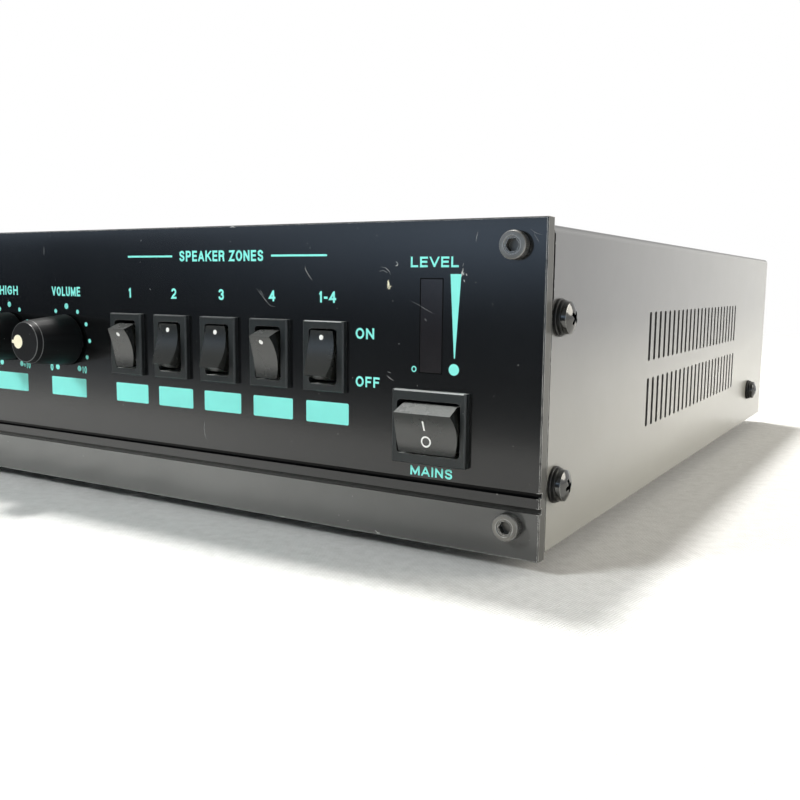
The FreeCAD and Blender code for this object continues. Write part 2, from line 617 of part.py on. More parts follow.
def knob_and_shaft(name, place_in_row, dial):
    """A hollow tapered knob on a flatted shaft, both turned to where the pointer rests."""
    turn = facing_front * Rotation(Vector(0, 0, 1), -dial)
    shaft = new_body("shaft_" + name)
    face = new_sketch(shaft, "XY_Plane", "-shaft_back")
    circle(face, "0", "0", "shaft_radius")
    pad(shaft, face, "shaft_front+shaft_back")
    flat = new_sketch(shaft, "XY_Plane", "shaft_flat_start")
    rectangle(flat, "0", "-(shaft_flat+shaft_radius/2)", "2*shaft_radius+0.2", "shaft_radius")
    pocket(shaft, flat, "shaft_front-shaft_flat_start")
    place(shaft, knob_x(place_in_row), "0", "knob_level", turn)
    knob = new_body("knob_" + name)
    half = new_sketch(knob, "XZ_Plane")
    outline(half, [
        ("knob_base-knob_wall", "knob_back"), ("knob_base-knob_edge", "knob_back"),
        ("knob_base", "knob_back+knob_edge"), ("knob_rim", "knob_shoulder"),
        ("knob_face", "knob_reach"), ("0", "knob_reach"), ("0", "knob_hub"),
        ("knob_base-knob_wall-0.5", "knob_hub")])
    revolve(knob, half)
    socket = new_sketch(knob, "XY_Plane", "knob_hub")
    circle(socket, "0", "0", "shaft_radius+knob_play")
    pocket(knob, socket, "shaft_front+knob_play-knob_hub")
    key = new_sketch(knob, "XY_Plane", "shaft_flat_start")
    rectangle(key, "0", "-(shaft_flat+shaft_radius/2)-knob_play", "2*shaft_radius", "shaft_radius")
    pad(knob, key, "shaft_front-shaft_flat_start")
    place(knob, knob_x(place_in_row), "0", "knob_level", turn)


def switch_body(label, kind, blades):
    """Snap-in switch housing: bezel, mouth, seats for the rocker's pins, and tabs behind."""
    body = new_body(label, keep=False)
    rim = new_sketch(body, "XY_Plane")
    rectangle(rim, "0", "0", kind + "_bezel_wide", kind + "_bezel_tall")
    bezel = pad(body, rim, kind + "_bezel_thick")
    edge_level = number(kind + "_bezel_thick")
    dress(body, "Chamfer", bezel, "bezel_chamfer",
          lambda middle, edge: abs(middle.z - edge_level) < 0.01)
    shell = new_sketch(body, "XY_Plane", "-%s_body_deep" % kind)
    rectangle(shell, "0", "0", kind + "_body_wide", kind + "_body_tall")
    pad(body, shell, kind + "_body_deep")
    mouth = new_sketch(body, "XY_Plane", "%s_bezel_thick-mouth_deep" % kind)
    rectangle(mouth, "0", "0", kind + "_mouth_wide", kind + "_mouth_tall")
    cavity = pocket(body, mouth, "mouth_deep")
    half_wide, half_tall = number(kind + "_mouth_wide/2"), number(kind + "_mouth_tall/2")
    dress(body, "Fillet", cavity, "mouth_corner",
          lambda middle, edge: abs(abs(middle.x) - half_wide) < 0.01
          and abs(abs(middle.y) - half_tall) < 0.01 and edge.Length > 5)
    seats = new_sketch(body, "YZ_Plane", "-(%s_mouth_wide/2+trunnion_seat)" % kind)
    circle(seats, "0", kind + "_pivot", "trunnion_radius+trunnion_gap")
    pocket(body, seats, "%s_mouth_wide+2*trunnion_seat" % kind)
    tabs = new_sketch(body, "XY_Plane", "-(%s_body_deep+blade_long)" % kind)
    for across, up in blades:
        rectangle(tabs, "%s*%s_body_wide" % (across, kind), "%s*%s_body_tall" % (up, kind),
                  "blade_wide", "blade_thick")
    pad(body, tabs, "blade_long")
    return body


def rocker(label, kind, x, z, switched_on):
    """Rocker with a hollow face, sides that narrow to its ends, a foot and a pin at each side."""
    body = new_body(label)
    side = new_sketch(body, "YZ_Plane", "-%s_rocker_wide/2" % kind)
    half, fore = kind + "_half", kind + "_fore"
    dip = "%s-(%s_face_radius-sqrt(%s_face_radius*%s_face_radius-%s*%s))" % (
        fore, kind, kind, kind, half, half)
    waist = kind + "_waist"
    outline(side, [
        (half, fore), ("-" + half, fore), ("-" + waist, "0"), ("-" + waist + "+0.25", "-rocker_skirt"),
        ("-rocker_neck_half", "-rocker_neck"), ("-rocker_foot_half", "-rocker_foot"),
        ("rocker_foot_half", "-rocker_foot"), ("rocker_neck_half", "-rocker_neck"),
        (waist + "-0.25", "-rocker_skirt"), (waist, "0")],
        {0: (kind + "_face_radius", ("0", dip))})
    pad(body, side, kind + "_rocker_wide")
    trim = new_sketch(body, "XY_Plane", "-rocker_foot")
    reach = waist + "+0.1"
    drop = "(%s_rocker_wide-%s_rocker_end)/2" % (kind, kind)
    barrel = "((%s)*(%s)+(%s)*(%s))/(2*(%s))" % (reach, reach, drop, drop, drop)
    for sign in ("-", ""):
        end, full = "%s%s_rocker_end/2" % (sign, kind), "%s%s_rocker_wide/2" % (sign, kind)
        clear = "%s(%s_rocker_wide/2+1)" % (sign, kind)
        outline(trim, [(end, reach), (end, "-(%s)" % reach), (clear, "-(%s)" % reach), (clear, reach)],
                {0: (barrel, (full, "0"))})
    pocket(body, trim, "rocker_foot+%s+1" % fore)
    pins = new_sketch(body, "YZ_Plane", "-(%s_rocker_wide/2+trunnion_long)" % kind)
    circle(pins, "0", "0", "trunnion_radius")
    pad(body, pins, "%s_rocker_wide+2*trunnion_long" % kind)
    tilt = Rotation(Vector(1, 0, 0), number("rocker_tilt") * (-1 if switched_on else 1))
    place(body, x, "-%s_pivot" % kind, z, tilt * facing_front)


def switches():
    pattern = switch_body("zone_switch_pattern", "zone", [("0", "0.3"), ("0", "-0.3")])
    seats = [(spot_of(zone_x(turn), "0", "zone_level"), facing_front) for turn in range(5)]
    group("zone_switch_bodies", pattern, seats)
    for turn, (name, switched_on) in enumerate((
            ("1", False), ("2", True), ("3", True), ("4", False), ("all", True))):
        rocker("rocker_zone_" + name, "zone", zone_x(turn), "zone_level", switched_on)
    pattern = switch_body("mains_switch_pattern", "mains",
                          [("-0.25", "0.3"), ("-0.25", "-0.3"), ("0.25", "0.3"), ("0.25", "-0.3")])
    group("mains_switch_body", pattern, [(spot_of("mains_x", "0", "mains_level"), facing_front)])
    rocker("rocker_mains", "mains", "mains_x", "mains_level", False)


def level_meter():
    """Smoked window let into the panel, a row of lamps behind it and their board."""
    window = new_body("meter_window")
    face = new_sketch(window, "XY_Plane", "-panel_thick")
    rectangle(face, "0", "0", "meter_wide", "meter_tall")
    pad(window, face, "panel_thick")
    back = new_sketch(window, "XY_Plane", "-(panel_thick+meter_flange_thick)")
    rectangle(back, "0", "0", "meter_wide+2*meter_flange", "meter_tall+2*meter_flange")
    pad(window, back, "meter_flange_thick")
    place(window, "meter_x", "0", "meter_level", facing_front)
    lamps = new_body("meter_lamps")
    behind = "panel_thick+meter_flange_thick"
    bar = new_sketch(lamps, "XY_Plane", "-(%s+led_deep)" % behind)
    rectangle(bar, "0", "0", "led_wide", "led_tall")
    pad(lamps, bar, "led_deep-0.6")
    cell = new_sketch(lamps, "XY_Plane", "-(%s+0.6)" % behind)
    rectangle(cell, "0", "(led_tall/led_count-led_tall)/2", "led_wide-1", "led_tall/led_count-0.8")
    lamp = pad(lamps, cell, "0.6")
    repeat_along(lamps, [lamp], cell, "V_Axis", "led_tall/led_count", "led_count")
    place(lamps, "meter_x", "0", "meter_level", facing_front)
    board = block("meter_x", "%s+led_deep+board_thick/2" % behind,
                  "meter_level-meter_board_tall/2", "meter_board_wide", "board_thick",
                  "meter_board_tall")
    board.Label = "meter_board"
    nodes.append(board)


def boards():
    """The control board under the potentiometers, and the power amplifier's board on standoffs."""
    control = new_body("control_board")
    face = new_sketch(control, "XY_Plane")
    outline(face, [
        ("control_left", "control_front"), ("control_right", "control_front"),
        ("control_right", "control_front+control_deep-20"),
        ("control_right-40", "control_front+control_deep"),
        ("control_left", "control_front+control_deep")])
    pad(control, face, "board_thick")
    place(control, "0", "0", "control_level")
    amplifier = new_body("amplifier_board")
    face = new_sketch(amplifier, "XY_Plane")
    rectangle(face, "amp_left+amp_wide/2", "amp_front+amp_deep/2", "amp_wide", "amp_deep")
    corners = [(x, y) for x in ("amp_left+standoff_inset", "amp_left+amp_wide-standoff_inset")
               for y in ("amp_front+standoff_inset", "amp_front+amp_deep-standoff_inset")]
    for x, y in corners:
        circle(face, x, y, "1.6")
    pad(amplifier, face, "board_thick")
    place(amplifier, "0", "0", "amp_level")
    standoff = new_body("standoff_pattern", keep=False)
    face = new_sketch(standoff, "XY_Plane")
    hexagon(face, "2*standoff_radius")
    circle(face, "0", "0", "1.5")
    pad(standoff, face, "amp_level-case_bottom-steel")
    group("board_standoffs", standoff,
          [(spot_of(x, y, "case_bottom+steel"), facing_up) for x, y in corners])


def heat_sink():
    """Extruded fins that face the side vents, with the power transistors on the inner face."""
    body = new_body("heat_sink")
    base = new_sketch(body, "XY_Plane", "case_bottom+steel")
    rectangle(base, "sink_x+sink_base/2", "sink_front+sink_long/2", "sink_base", "sink_long")
    tall = "sink_top-case_bottom-steel"
    pad(body, base, tall)
    fin = new_sketch(body, "XY_Plane", "case_bottom+steel")
    rectangle(fin, "sink_x+sink_base+sink_fin/2", "sink_front+sink_fin_thick/2", "sink_fin",
              "sink_fin_thick")
    first = pad(body, fin, tall)
    repeat_along(body, [first], fin, "V_Axis", "sink_fin_step", "sink_fin_count")
    place(body)
    transistor = new_body("transistor_pattern", keep=False)
    face = new_sketch(transistor, "XY_Plane")
    rectangle(face, "0", "transistor_tall/2", "transistor_wide", "transistor_tall")
    circle(face, "0", "transistor_tall-4", "transistor_hole")
    pad(transistor, face, "transistor_thick")
    legs = new_sketch(transistor, "XY_Plane", "1.6")
    for turn in (-1, 0, 1):
        rectangle(legs, "%d*5.45" % turn, "-(transistor_low-amp_level-board_thick)/2", "1.1",
                  "transistor_low-amp_level-board_thick")
    pad(transistor, legs, "0.6")
    inward = Rotation(Vector(0, 0, 1), -90) * facing_front
    group("power_transistors", transistor, [
        (spot_of("sink_x", "transistor_first+%d*transistor_step" % turn, "transistor_low"), inward)
        for turn in range(4)])


def power_parts():
    """Filter capacitors on the amplifier's board and the bridge rectifier on the tray."""
    can = new_body("filter_pattern", keep=False)
    half = new_sketch(can, "XZ_Plane")
    outline(half, [
        ("0", "0"), ("filter_radius-1", "0"), ("filter_radius", "1"), ("filter_radius", "4"),
        ("filter_radius-filter_groove", "4.8"), ("filter_radius", "5.6"),
        ("filter_radius", "filter_tall-1"), ("filter_radius-1", "filter_tall"), ("0", "filter_tall")])
    revolve(can, half)
    group("filter_capacitors", can, [
        (spot_of("filter_first+%d*filter_step" % turn, "filter_y", "amp_level+board_thick"),
         facing_up) for turn in range(2)])
    bridge = new_body("bridge_rectifier")
    face = new_sketch(bridge, "XY_Plane")
    rectangle(face, "0", "0", "bridge_side", "bridge_side")
    circle(face, "0", "0", "bridge_hole")
    cube = pad(bridge, face, "bridge_tall")
    dress(bridge, "Chamfer", cube, "3",
          lambda middle, edge: middle.x > 13.9 and middle.y > 13.9 and edge.Length > 10)
    tabs = new_sketch(bridge, "XY_Plane", "bridge_tall")
    for across in (-1, 1):
        for up in (-1, 1):
            rectangle(tabs, "%d*bridge_side*0.33" % across, "%d*bridge_side*0.33" % up, "blade_thick",
                      "bridge_tab")
    pad(bridge, tabs, "8")
    place(bridge, "bridge_x", "bridge_y", "case_bottom+steel")


def transformer(name):
    """Laminated core with two windows, and a winding round its centre leg."""
    wide, tall, leg = name + "_core_wide", name + "_core_tall", name + "_core_leg"
    stack = name + "_core_stack"
    window = "%s/2" % leg
    core = new_body(name + "_transformer_core")
    face = new_sketch(core, "XZ_Plane", "-%s/2" % stack)
    rectangle(face, "0", "%s/2" % tall, wide, tall)
    for side in ("-", ""):
        rectangle(face, "%s%s*0.75" % (side, leg), "%s/2" % tall, window, "%s-%s" % (tall, leg))
    pad(core, face, stack)
    place(core, name + "_core_x", name + "_core_y", "case_bottom+steel")
    winding = new_body(name + "_transformer_winding")
    ring = new_sketch(winding, "XY_Plane", "%s/2+winding_gap" % leg)
    rectangle(ring, "0", "0", "2*%s-2*winding_gap" % leg, "%s+%s-2*winding_gap" % (stack, leg))
    rectangle(ring, "0", "0", leg, stack)
    coil = pad(winding, ring, "%s-%s-2*winding_gap" % (tall, leg))
    reach = number("(%s+%s)/2-winding_gap" % (stack, leg))
    dress(winding, "Fillet", coil, "%s*0.2" % leg,
          lambda middle, edge: abs(abs(middle.y) - reach) < 0.01 and abs(middle.x) > 5
          and abs(edge.tangentAt(edge.FirstParameter).z) > 0.9)
    place(winding, name + "_core_x", name + "_core_y", "case_bottom+steel")


def mains_inlet():
    """Three-pin appliance inlet, drawn with its face along +Z and its flange on the sheet."""
    body = new_body("mains_inlet")
    flange = new_sketch(body, "XY_Plane")
    rectangle(flange, "0", "0", "inlet_wide+2*inlet_lip", "inlet_tall+2*inlet_lip")
    rim = pad(body, flange, "inlet_flange")
    top_level = number("inlet_flange")
    dress(body, "Chamfer", rim, "0.8", lambda middle, edge: abs(middle.z - top_level) < 0.01)
    shell = new_sketch(body, "XY_Plane", "-inlet_deep")
    rectangle(shell, "0", "0", "inlet_wide", "inlet_tall")
    pad(body, shell, "inlet_deep")
    mouth = new_sketch(body, "XY_Plane", "inlet_flange-inlet_mouth_deep")
    half_wide, half_tall = "inlet_mouth_wide/2", "inlet_mouth_tall/2"
    outline(mouth, [
        ("-" + half_wide, "-" + half_tall), (half_wide, "-" + half_tall),
        (half_wide, half_tall + "-inlet_corner"), (half_wide + "-inlet_corner", half_tall),
        ("-" + half_wide + "+inlet_corner", half_tall), ("-" + half_wide, half_tall + "-inlet_corner")])
    pocket(body, mouth, "inlet_mouth_deep")
    pins = new_sketch(body, "XY_Plane", "inlet_flange-inlet_mouth_deep")
    for x, y in (("-inlet_pin_x", "inlet_pin_low"), ("inlet_pin_x", "inlet_pin_low"),
                 ("0", "inlet_pin_high")):
        rectangle(pins, x, y, "inlet_pin_wide", "inlet_pin_tall")
    pad(body, pins, "inlet_pin_long")
    tabs = new_sketch(body, "XY_Plane", "-(inlet_deep+blade_long)")
    for turn in (-1, 0, 1):
        rectangle(tabs, "%d*inlet_pin_x" % turn, "0", "blade_wide", "blade_thick")
    pad(body, tabs, "blade_long")
    place(body, "inlet_x", "case_depth", "inlet_level", facing_rear)


def fuse_holder():
    holder = new_body("fuse_holder")
    half = new_sketch(holder, "XZ_Plane")
    outline(half, [
        ("0", "-fuse_deep"), ("fuse_body-1.5", "-fuse_deep"), ("fuse_body-1.5", "-fuse_deep+5"),
        ("fuse_body", "-fuse_deep+5"), ("fuse_body", "0"), ("fuse_flange", "0"),
        ("fuse_flange-0.6", "fuse_flange_thick"), ("0", "fuse_flange_thick")])
    revolve(holder, half)
    place(holder, "fuse_x", "case_depth", "fuse_level", facing_rear)
    cap = new_body("fuse_cap")
    half = new_sketch(cap, "XZ_Plane")
    top = "fuse_flange_thick+fuse_cap_tall"
    outline(half, [
        ("0", "fuse_flange_thick"), ("fuse_cap_radius", "fuse_flange_thick"),
        ("fuse_cap_radius-0.5", top + "-0.6"), ("fuse_cap_radius-1.1", top), ("0", top)])
    revolve(cap, half)
    slot = new_sketch(cap, "XY_Plane", top + "-fuse_slot")
    rectangle(slot, "0", "0", "fuse_cap_radius*1.5", "fuse_slot")
    pocket(cap, slot, "fuse_slot")
    place(cap, "fuse_x", "case_depth", "fuse_level", facing_rear)


def terminal_strip():
    """Barrier strip: a base with walls between the screw clamps."""
    body = new_body("speaker_terminals")
    long = "strip_count*strip_step+strip_wall"
    base = new_sketch(body, "XY_Plane")
    rectangle(base, "0", "0", long, "strip_tall")
    pad(body, base, "strip_base")
    wall = new_sketch(body, "XY_Plane", "strip_base")
    rectangle(wall, "(strip_wall-(%s))/2" % long, "0", "strip_wall", "strip_tall")
    first = pad(body, wall, "strip_reach-strip_base")
    repeat_along(body, [first], wall, "H_Axis", "strip_step", "strip_count+1")
    tabs = new_sketch(body, "XY_Plane", "-6")
    rectangle(tabs, "(strip_step-strip_count*strip_step)/2", "0", "4", "1")
    tab = pad(body, tabs, "6")
    repeat_along(body, [tab], tabs, "H_Axis", "strip_step", "strip_count")
    place(body, "strip_x", "case_depth", "strip_level", facing_rear)
    screw = new_body("clamp_pattern", keep=False)
    plate = new_sketch(screw, "XY_Plane", "strip_base")
    rectangle(plate, "0", "0", "strip_clamp", "strip_clamp")
    pad(screw, plate, "strip_clamp_thick")
    head = new_sketch(screw, "XY_Plane", "strip_base+strip_clamp_thick")
    circle(head, "0", "0", "strip_screw_radius")
    pad(screw, head, "strip_screw_tall")
    slot = new_sketch(screw, "XY_Plane", "strip_base+strip_clamp_thick+strip_screw_tall-0.8")
    rectangle(slot, "0", "0", "strip_screw_radius*2.2", "0.8")
    pocket(screw, slot, "0.8")
    group("terminal_screws", screw, [
        (spot_of("strip_x+(%d-(strip_count-1)/2)*strip_step" % turn, "case_depth", "strip_level"),
         facing_rear) for turn in range(8)])


def input_sockets():
    """Jack sockets and phono sockets, each with its nut's outline on the sheet."""
    jack = new_body("jack_pattern", keep=False)
    case = new_sketch(jack, "XY_Plane", "-(steel+jack_body_deep)")
    rectangle(case, "0", "0", "jack_body_wide", "jack_body_wide")
    pad(jack, case, "jack_body_deep")
    barrel = new_sketch(jack, "XY_Plane", "-steel")
    circle(barrel, "0", "0", "jack_barrel")
    pad(jack, barrel, "steel+jack_barrel_front")
    bore = new_sketch(jack, "XY_Plane", "jack_barrel_front-jack_bore_deep")
    circle(bore, "0", "0", "jack_bore")
    pocket(jack, bore, "jack_bore_deep")
    nut = new_body("jack_nut_pattern", keep=False)
    face = new_sketch(nut, "XY_Plane")
    hexagon(face, "jack_nut_flats")
    circle(face, "0", "0", "jack_barrel+0.06")
    pad(nut, face, "jack_nut_thick")
    seats = [(spot_of("jack_first+%d*jack_step" % turn, "case_depth", "jack_level"), facing_rear)
             for turn in range(3)]
    group("input_jacks", jack, seats)
    group("jack_nuts", nut, seats)
    phono = new_body("phono_pattern", keep=False)
    half = new_sketch(phono, "XZ_Plane")
    outline(half, [
        ("0", "-phono_deep"), ("phono_body", "-phono_deep"), ("phono_body", "-steel"),
        ("phono_shell", "-steel"), ("phono_shell", "phono_reach"),
        ("phono_insulator", "phono_reach"), ("phono_insulator", "phono_reach-phono_recess"),
        ("phono_bore", "phono_reach-phono_recess"),
        ("phono_bore", "phono_reach-phono_recess-phono_bore_deep"),
        ("0", "phono_reach-phono_recess-phono_bore_deep")])
    revolve(phono, half)
    group("phono_sockets", phono, [
        (spot_of("phono_first+%d*phono_step" % turn, "case_depth", "phono_level"), facing_rear)
        for turn in range(2)])


front_panel()
chassis()
rear_panel()
top_cover()
corner_brackets()
front_rail()
panel_screws()
cover_fasteners()
feet()
potentiometers()
# Pointer rest of each knob, in degrees clockwise from the top of its dial.
dials = {"input_1": -150, "input_2": -150, "input_3": -150, "input_4": -150, "input_5": -150,
         "low": 0, "high": 0, "volume": -90}
for place_in_row, (name, dial) in enumerate(dials.items()):
    knob_and_shaft(name, place_in_row, dial)
switches()
level_meter()
boards()
heat_sink()
power_parts()
transformer("mains")
transformer("output")
mains_inlet()
fuse_holder()
terminal_strip()
input_sockets()
doc.recompute()

for item in doc.Objects:
    if "Invalid" in item.State or "Error" in item.State:
        raise RuntimeError("%s (%s) failed: %s" % (item.Name, item.Label, item.State))
for item in nodes:
    if item.Shape.isNull() or not item.Shape.isValid() or not item.Shape.Solids:
        raise RuntimeError(item.Label + " has no valid solid")

os.makedirs("parts", exist_ok=True)
for item in nodes:
    item.Shape.exportStep(os.path.join("parts", item.Label + ".step"))
print("wrote %d nodes" % len(nodes))
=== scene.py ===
import json
import math
import random
import bmesh
import bpy
from mathutils import Matrix, Vector


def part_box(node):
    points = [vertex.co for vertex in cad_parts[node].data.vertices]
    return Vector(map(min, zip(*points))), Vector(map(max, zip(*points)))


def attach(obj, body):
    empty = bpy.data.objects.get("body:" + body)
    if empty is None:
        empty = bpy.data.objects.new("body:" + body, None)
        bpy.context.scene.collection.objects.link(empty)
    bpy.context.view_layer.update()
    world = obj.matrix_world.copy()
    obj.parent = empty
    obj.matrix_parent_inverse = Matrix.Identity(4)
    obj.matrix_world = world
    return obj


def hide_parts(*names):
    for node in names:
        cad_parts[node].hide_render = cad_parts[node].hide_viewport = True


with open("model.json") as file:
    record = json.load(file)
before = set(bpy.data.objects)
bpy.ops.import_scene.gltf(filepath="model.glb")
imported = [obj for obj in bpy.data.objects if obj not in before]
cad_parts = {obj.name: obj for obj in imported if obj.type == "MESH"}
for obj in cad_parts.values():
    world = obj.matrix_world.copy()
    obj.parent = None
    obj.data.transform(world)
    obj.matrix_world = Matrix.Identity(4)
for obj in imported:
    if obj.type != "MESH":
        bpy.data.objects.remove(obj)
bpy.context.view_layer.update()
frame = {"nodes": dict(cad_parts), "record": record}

nodes = frame["nodes"]
mm = 0.001
panelLow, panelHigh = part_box("front_panel")
coverLow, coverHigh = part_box("top_cover")
proudPrint = 0.03  # print and inlays stand this far off what they are on, in millimetres
print("frame loaded:", len(nodes), "nodes")


# places and meshes

def onPanel(x, z, proud=0.0):
    # x from the panel's middle, z from its foot, proud towards the viewer, in millimetres
    return Vector((x * mm, panelLow.y - proud * mm, panelLow.z + z * mm))


def around(middle, angle, radius):
    # a spot on a circle, the angle anticlockwise from the right
    return middle[0] + radius * math.cos(angle), middle[1] + radius * math.sin(angle)


def roundOf(x, z, radius, steps=28):
    return [around((x, z), math.tau * k / steps, radius) for k in range(steps)]


def roundedBox(x, z, wide, tall, corner, steps=4):
    points = []
    for turn, (sx, sz) in enumerate(((1, 1), (-1, 1), (-1, -1), (1, -1))):
        middle = (x + sx * (wide / 2 - corner), z + sz * (tall / 2 - corner))
        for step in range(steps + 1):
            points.append(around(middle, math.radians(90 * turn + 90 * step / steps), corner))
    return points


def newObject(name, data, material=None):
    if material:
        data.materials.append(material)
    piece = bpy.data.objects.new(name, data)
    bpy.context.scene.collection.objects.link(piece)
    return piece


def bake(piece):
    # the mesh that a piece shows once its modifiers have run
    shown = bpy.context.evaluated_depsgraph_get()
    shown.update()
    return bpy.data.meshes.new_from_object(piece.evaluated_get(shown))


def settle(piece):
    mesh = bake(piece)
    piece.modifiers.clear()
    piece.data = mesh
    return piece


def smooth(mesh, degrees):
    for face in mesh.polygons:
        face.use_smooth = True
    mesh.set_sharp_from_angle(angle=math.radians(degrees))


def meshOf(name, points, faces):
    mesh = bpy.data.meshes.new(name)
    mesh.from_pydata([tuple(point) for point in points], [], faces)
    mesh.update()
    return mesh


def reworked(name, meshes, *changes):
    # one new mesh from several, after changes to its faces
    work = bmesh.new()
    for mesh in meshes:
        work.from_mesh(mesh)
    for change in changes:
        change(work)
    result = bpy.data.meshes.new(name)
    work.to_mesh(result)
    work.free()
    return result


def mergePoints(work):
    bmesh.ops.remove_doubles(work, verts=work.verts, dist=2e-6)


def mergeFlats(work):
    bmesh.ops.dissolve_limit(work, angle_limit=math.radians(0.8), verts=work.verts, edges=work.edges)


def turnOutward(work):
    bmesh.ops.recalc_face_normals(work, faces=work.faces)


def turnToViewer(work):
    for face in work.faces:
        face.normal_update()
        if face.normal.y > 0:
            face.normal_flip()


def intoTriangles(work):
    bmesh.ops.triangulate(work, faces=work.faces)


def joined(name, meshes, material):
    return newObject(name, reworked(name, meshes), material)


def bands(rows, steps, first=0, closed=False):
    # faces between rings of points, and from the last ring back to the first where closed
    faces = []
    for row in range(rows if closed else rows - 1):
        low, high = first + row * steps, first + (row + 1) % rows * steps
        for step in range(steps):
            after = (step + 1) % steps
            faces.append((low + step, low + after, high + after, high + step))
    return faces


def lathe(profile, steps, ribs=0.0, ribRows=()):
    # turns a list of (radius, height) about Z, in millimetres; ribs roughen the rings of some rows
    points = []
    for row, (radius, height) in enumerate(profile):
        for step in range(steps):
            reach = radius - (ribs if step % 2 and row in ribRows else 0)
            x, y = around((0, 0), math.tau * step / steps, reach)
            points.append((x * mm, y * mm, height * mm))
    foot = tuple(range(steps - 1, -1, -1))
    head = tuple(range((len(profile) - 1) * steps, len(profile) * steps))
    return meshOf("lathe", points, bands(len(profile), steps) + [foot, head])


def cut(mesh, cutter):
    # takes the cutter's solid out of the mesh
    piece, tool = newObject("piece", mesh), newObject("tool", cutter)
    change = piece.modifiers.new("cut", "BOOLEAN")
    change.operation = "DIFFERENCE"
    change.solver = "EXACT"
    change.object = tool
    result = bake(piece)
    bpy.data.objects.remove(piece)
    bpy.data.objects.remove(tool)
    return result


def prism(outline, low, high, shrink=1.0):
    # an upright prism over an outline in millimetres, narrowed at its foot by shrink
    count = len(outline)
    points = [(x * shrink * mm, y * shrink * mm, low * mm) for x, y in outline]
    points += [(x * mm, y * mm, high * mm) for x, y in outline]
    faces = [tuple(range(count - 1, -1, -1)), tuple(range(count, 2 * count))]
    faces += [(k, (k + 1) % count, count + (k + 1) % count, count + k) for k in range(count)]
    return meshOf("prism", points, faces)


# materials

class nodeWork:
    # short calls that add nodes to a tree; a value is a socket, a number or a colour
    def __init__(self, tree):
        self.tree = tree

    def add(self, kind, **settings):
        node = self.tree.nodes.new(kind)
        for key, value in settings.items():
            setattr(node, key, value)
        return node

    def feed(self, target, value):
        if isinstance(value, bpy.types.NodeSocket):
            self.tree.links.new(value, target)
        else:
            target.default_value = (*value, 1.0) if target.type == "RGBA" else value

    def make(self, kind, output, values, **settings):
        # one output of a new node whose inputs are fed
        node = self.add(kind, **settings)
        for key, value in values.items():
            self.feed(node.inputs[key], value)
        return node.outputs[output]

    def span(self, source, low, high, fromValue=0.0, toValue=1.0, **settings):
        values = {"Value": source, "From Min": low, "From Max": high, "To Min": fromValue, "To Max": toValue}
        return self.make("ShaderNodeMapRange", "Result", values, **settings)

    def maths(self, operation, first, *others):
        # carried on over all the values, or done to the first one alone
        for other in others or (0.0,):
            first = self.make("ShaderNodeMath", "Value", {0: first, 1: other}, operation=operation)
        return first

    def mix(self, factor, first, second):
        return self.make("ShaderNodeMix", 2, {"Factor": factor, 6: first, 7: second}, data_type="RGBA")

    def choose(self, factor, first, second):
        # the first shader at 0, the second at 1
        return self.make("ShaderNodeMixShader", 0, {0: factor, 1: first, 2: second})

    def part(self, vector, letter):
        return self.make("ShaderNodeSeparateXYZ", letter, {"Vector": vector})

    def inMirrors(self):
        # the light path node's outputs, and 1 for what is seen in a mirror or through glass
        path = self.add("ShaderNodeLightPath").outputs
        return path, self.maths("MAXIMUM", path["Is Glossy Ray"], path["Is Transmission Ray"])


class surfaceLook(nodeWork):
    # one node material, with the patterns its colour, gloss and relief come from
    def __init__(self, name):
        self.material = bpy.data.materials.new(name)
        self.material.use_nodes = True
        super().__init__(self.material.node_tree)
        self.shader = self.tree.nodes["Principled BSDF"]

    def give(self, values):
        # feeds the shader's inputs
        for key, value in values.items():
            self.feed(self.shader.inputs[key], value)

    def place(self, stretch=(1, 1, 1), turn=(0, 0, 0)):
        spot = self.add("ShaderNodeTexCoord").outputs["Object"]
        return self.make("ShaderNodeMapping", "Vector", {"Scale": stretch, "Rotation": turn, "Vector": spot})

    def noise(self, scale, detail, rough=0.6, stretch=(1, 1, 1)):
        values = {"Scale": scale, "Detail": detail, "Roughness": rough, "Vector": self.place(stretch)}
        return self.make("ShaderNodeTexNoise", "Fac", values)

    def patches(self, pattern, fromValue=0.0, toValue=1.0):
        # soft patches of a noise
        scale, detail, rough, low, high = pattern
        return self.span(self.noise(scale, detail, rough), low, high, fromValue, toValue)

    def cells(self, scale):
        return self.make("ShaderNodeTexVoronoi", "Distance", {"Scale": scale, "Vector": self.place()})

    def edges(self, radius):
        # 1 on edges, 0 on flats
        soft = self.make("ShaderNodeBevel", "Normal", {"Radius": radius}, samples=4)
        flat = self.add("ShaderNodeNewGeometry").outputs["Normal"]
        alike = self.make("ShaderNodeVectorMath", "Value", {0: soft, 1: flat}, operation="DOT_PRODUCT")
        return self.span(alike, 0.9, 0.99, 1.0, 0.0)

    def bump(self, height, strength):
        values = {"Strength": strength, "Distance": 0.0004, "Height": height}
        self.give({"Normal": self.make("ShaderNodeBump", "Normal", values)})

    def axis(self, letter):
        return self.part(self.place(), letter)

    def aside(self):
        # how far from the object's middle plane
        return self.maths("ABSOLUTE", self.axis("X"))

    def facing(self, letter):
        return self.part(self.add("ShaderNodeNewGeometry").outputs["Normal"], letter)


finishes = {}
patterns = {
    # a noise's scale, detail and roughness, and the part of its range that counts
    "tone": (35, 5, 0.6, 0.35, 0.65), "gloss": (60, 6, 0.7, 0.3, 0.7), "dustAndLitTopsFilm": (2400, 3, 0.7, 0.3, 0.55),
    "speckled": (170, 2, 0.6, 0.57, 0.63), "reflectedPatches": (50, 5, 0.6, 0.3, 0.6), "card": (18, 3, 0.6, 0.3, 0.7),
}
dustAndShade = {"dustAndLitTopsFilm": (0.86, 0.86, 0.83), "filmFrom": 0.86, "filmTo": 0.95, "filmThin": 0.78,
        "speck": (0.62, 0.62, 0.6), "speckCells": 520, "sunk": 0.55}


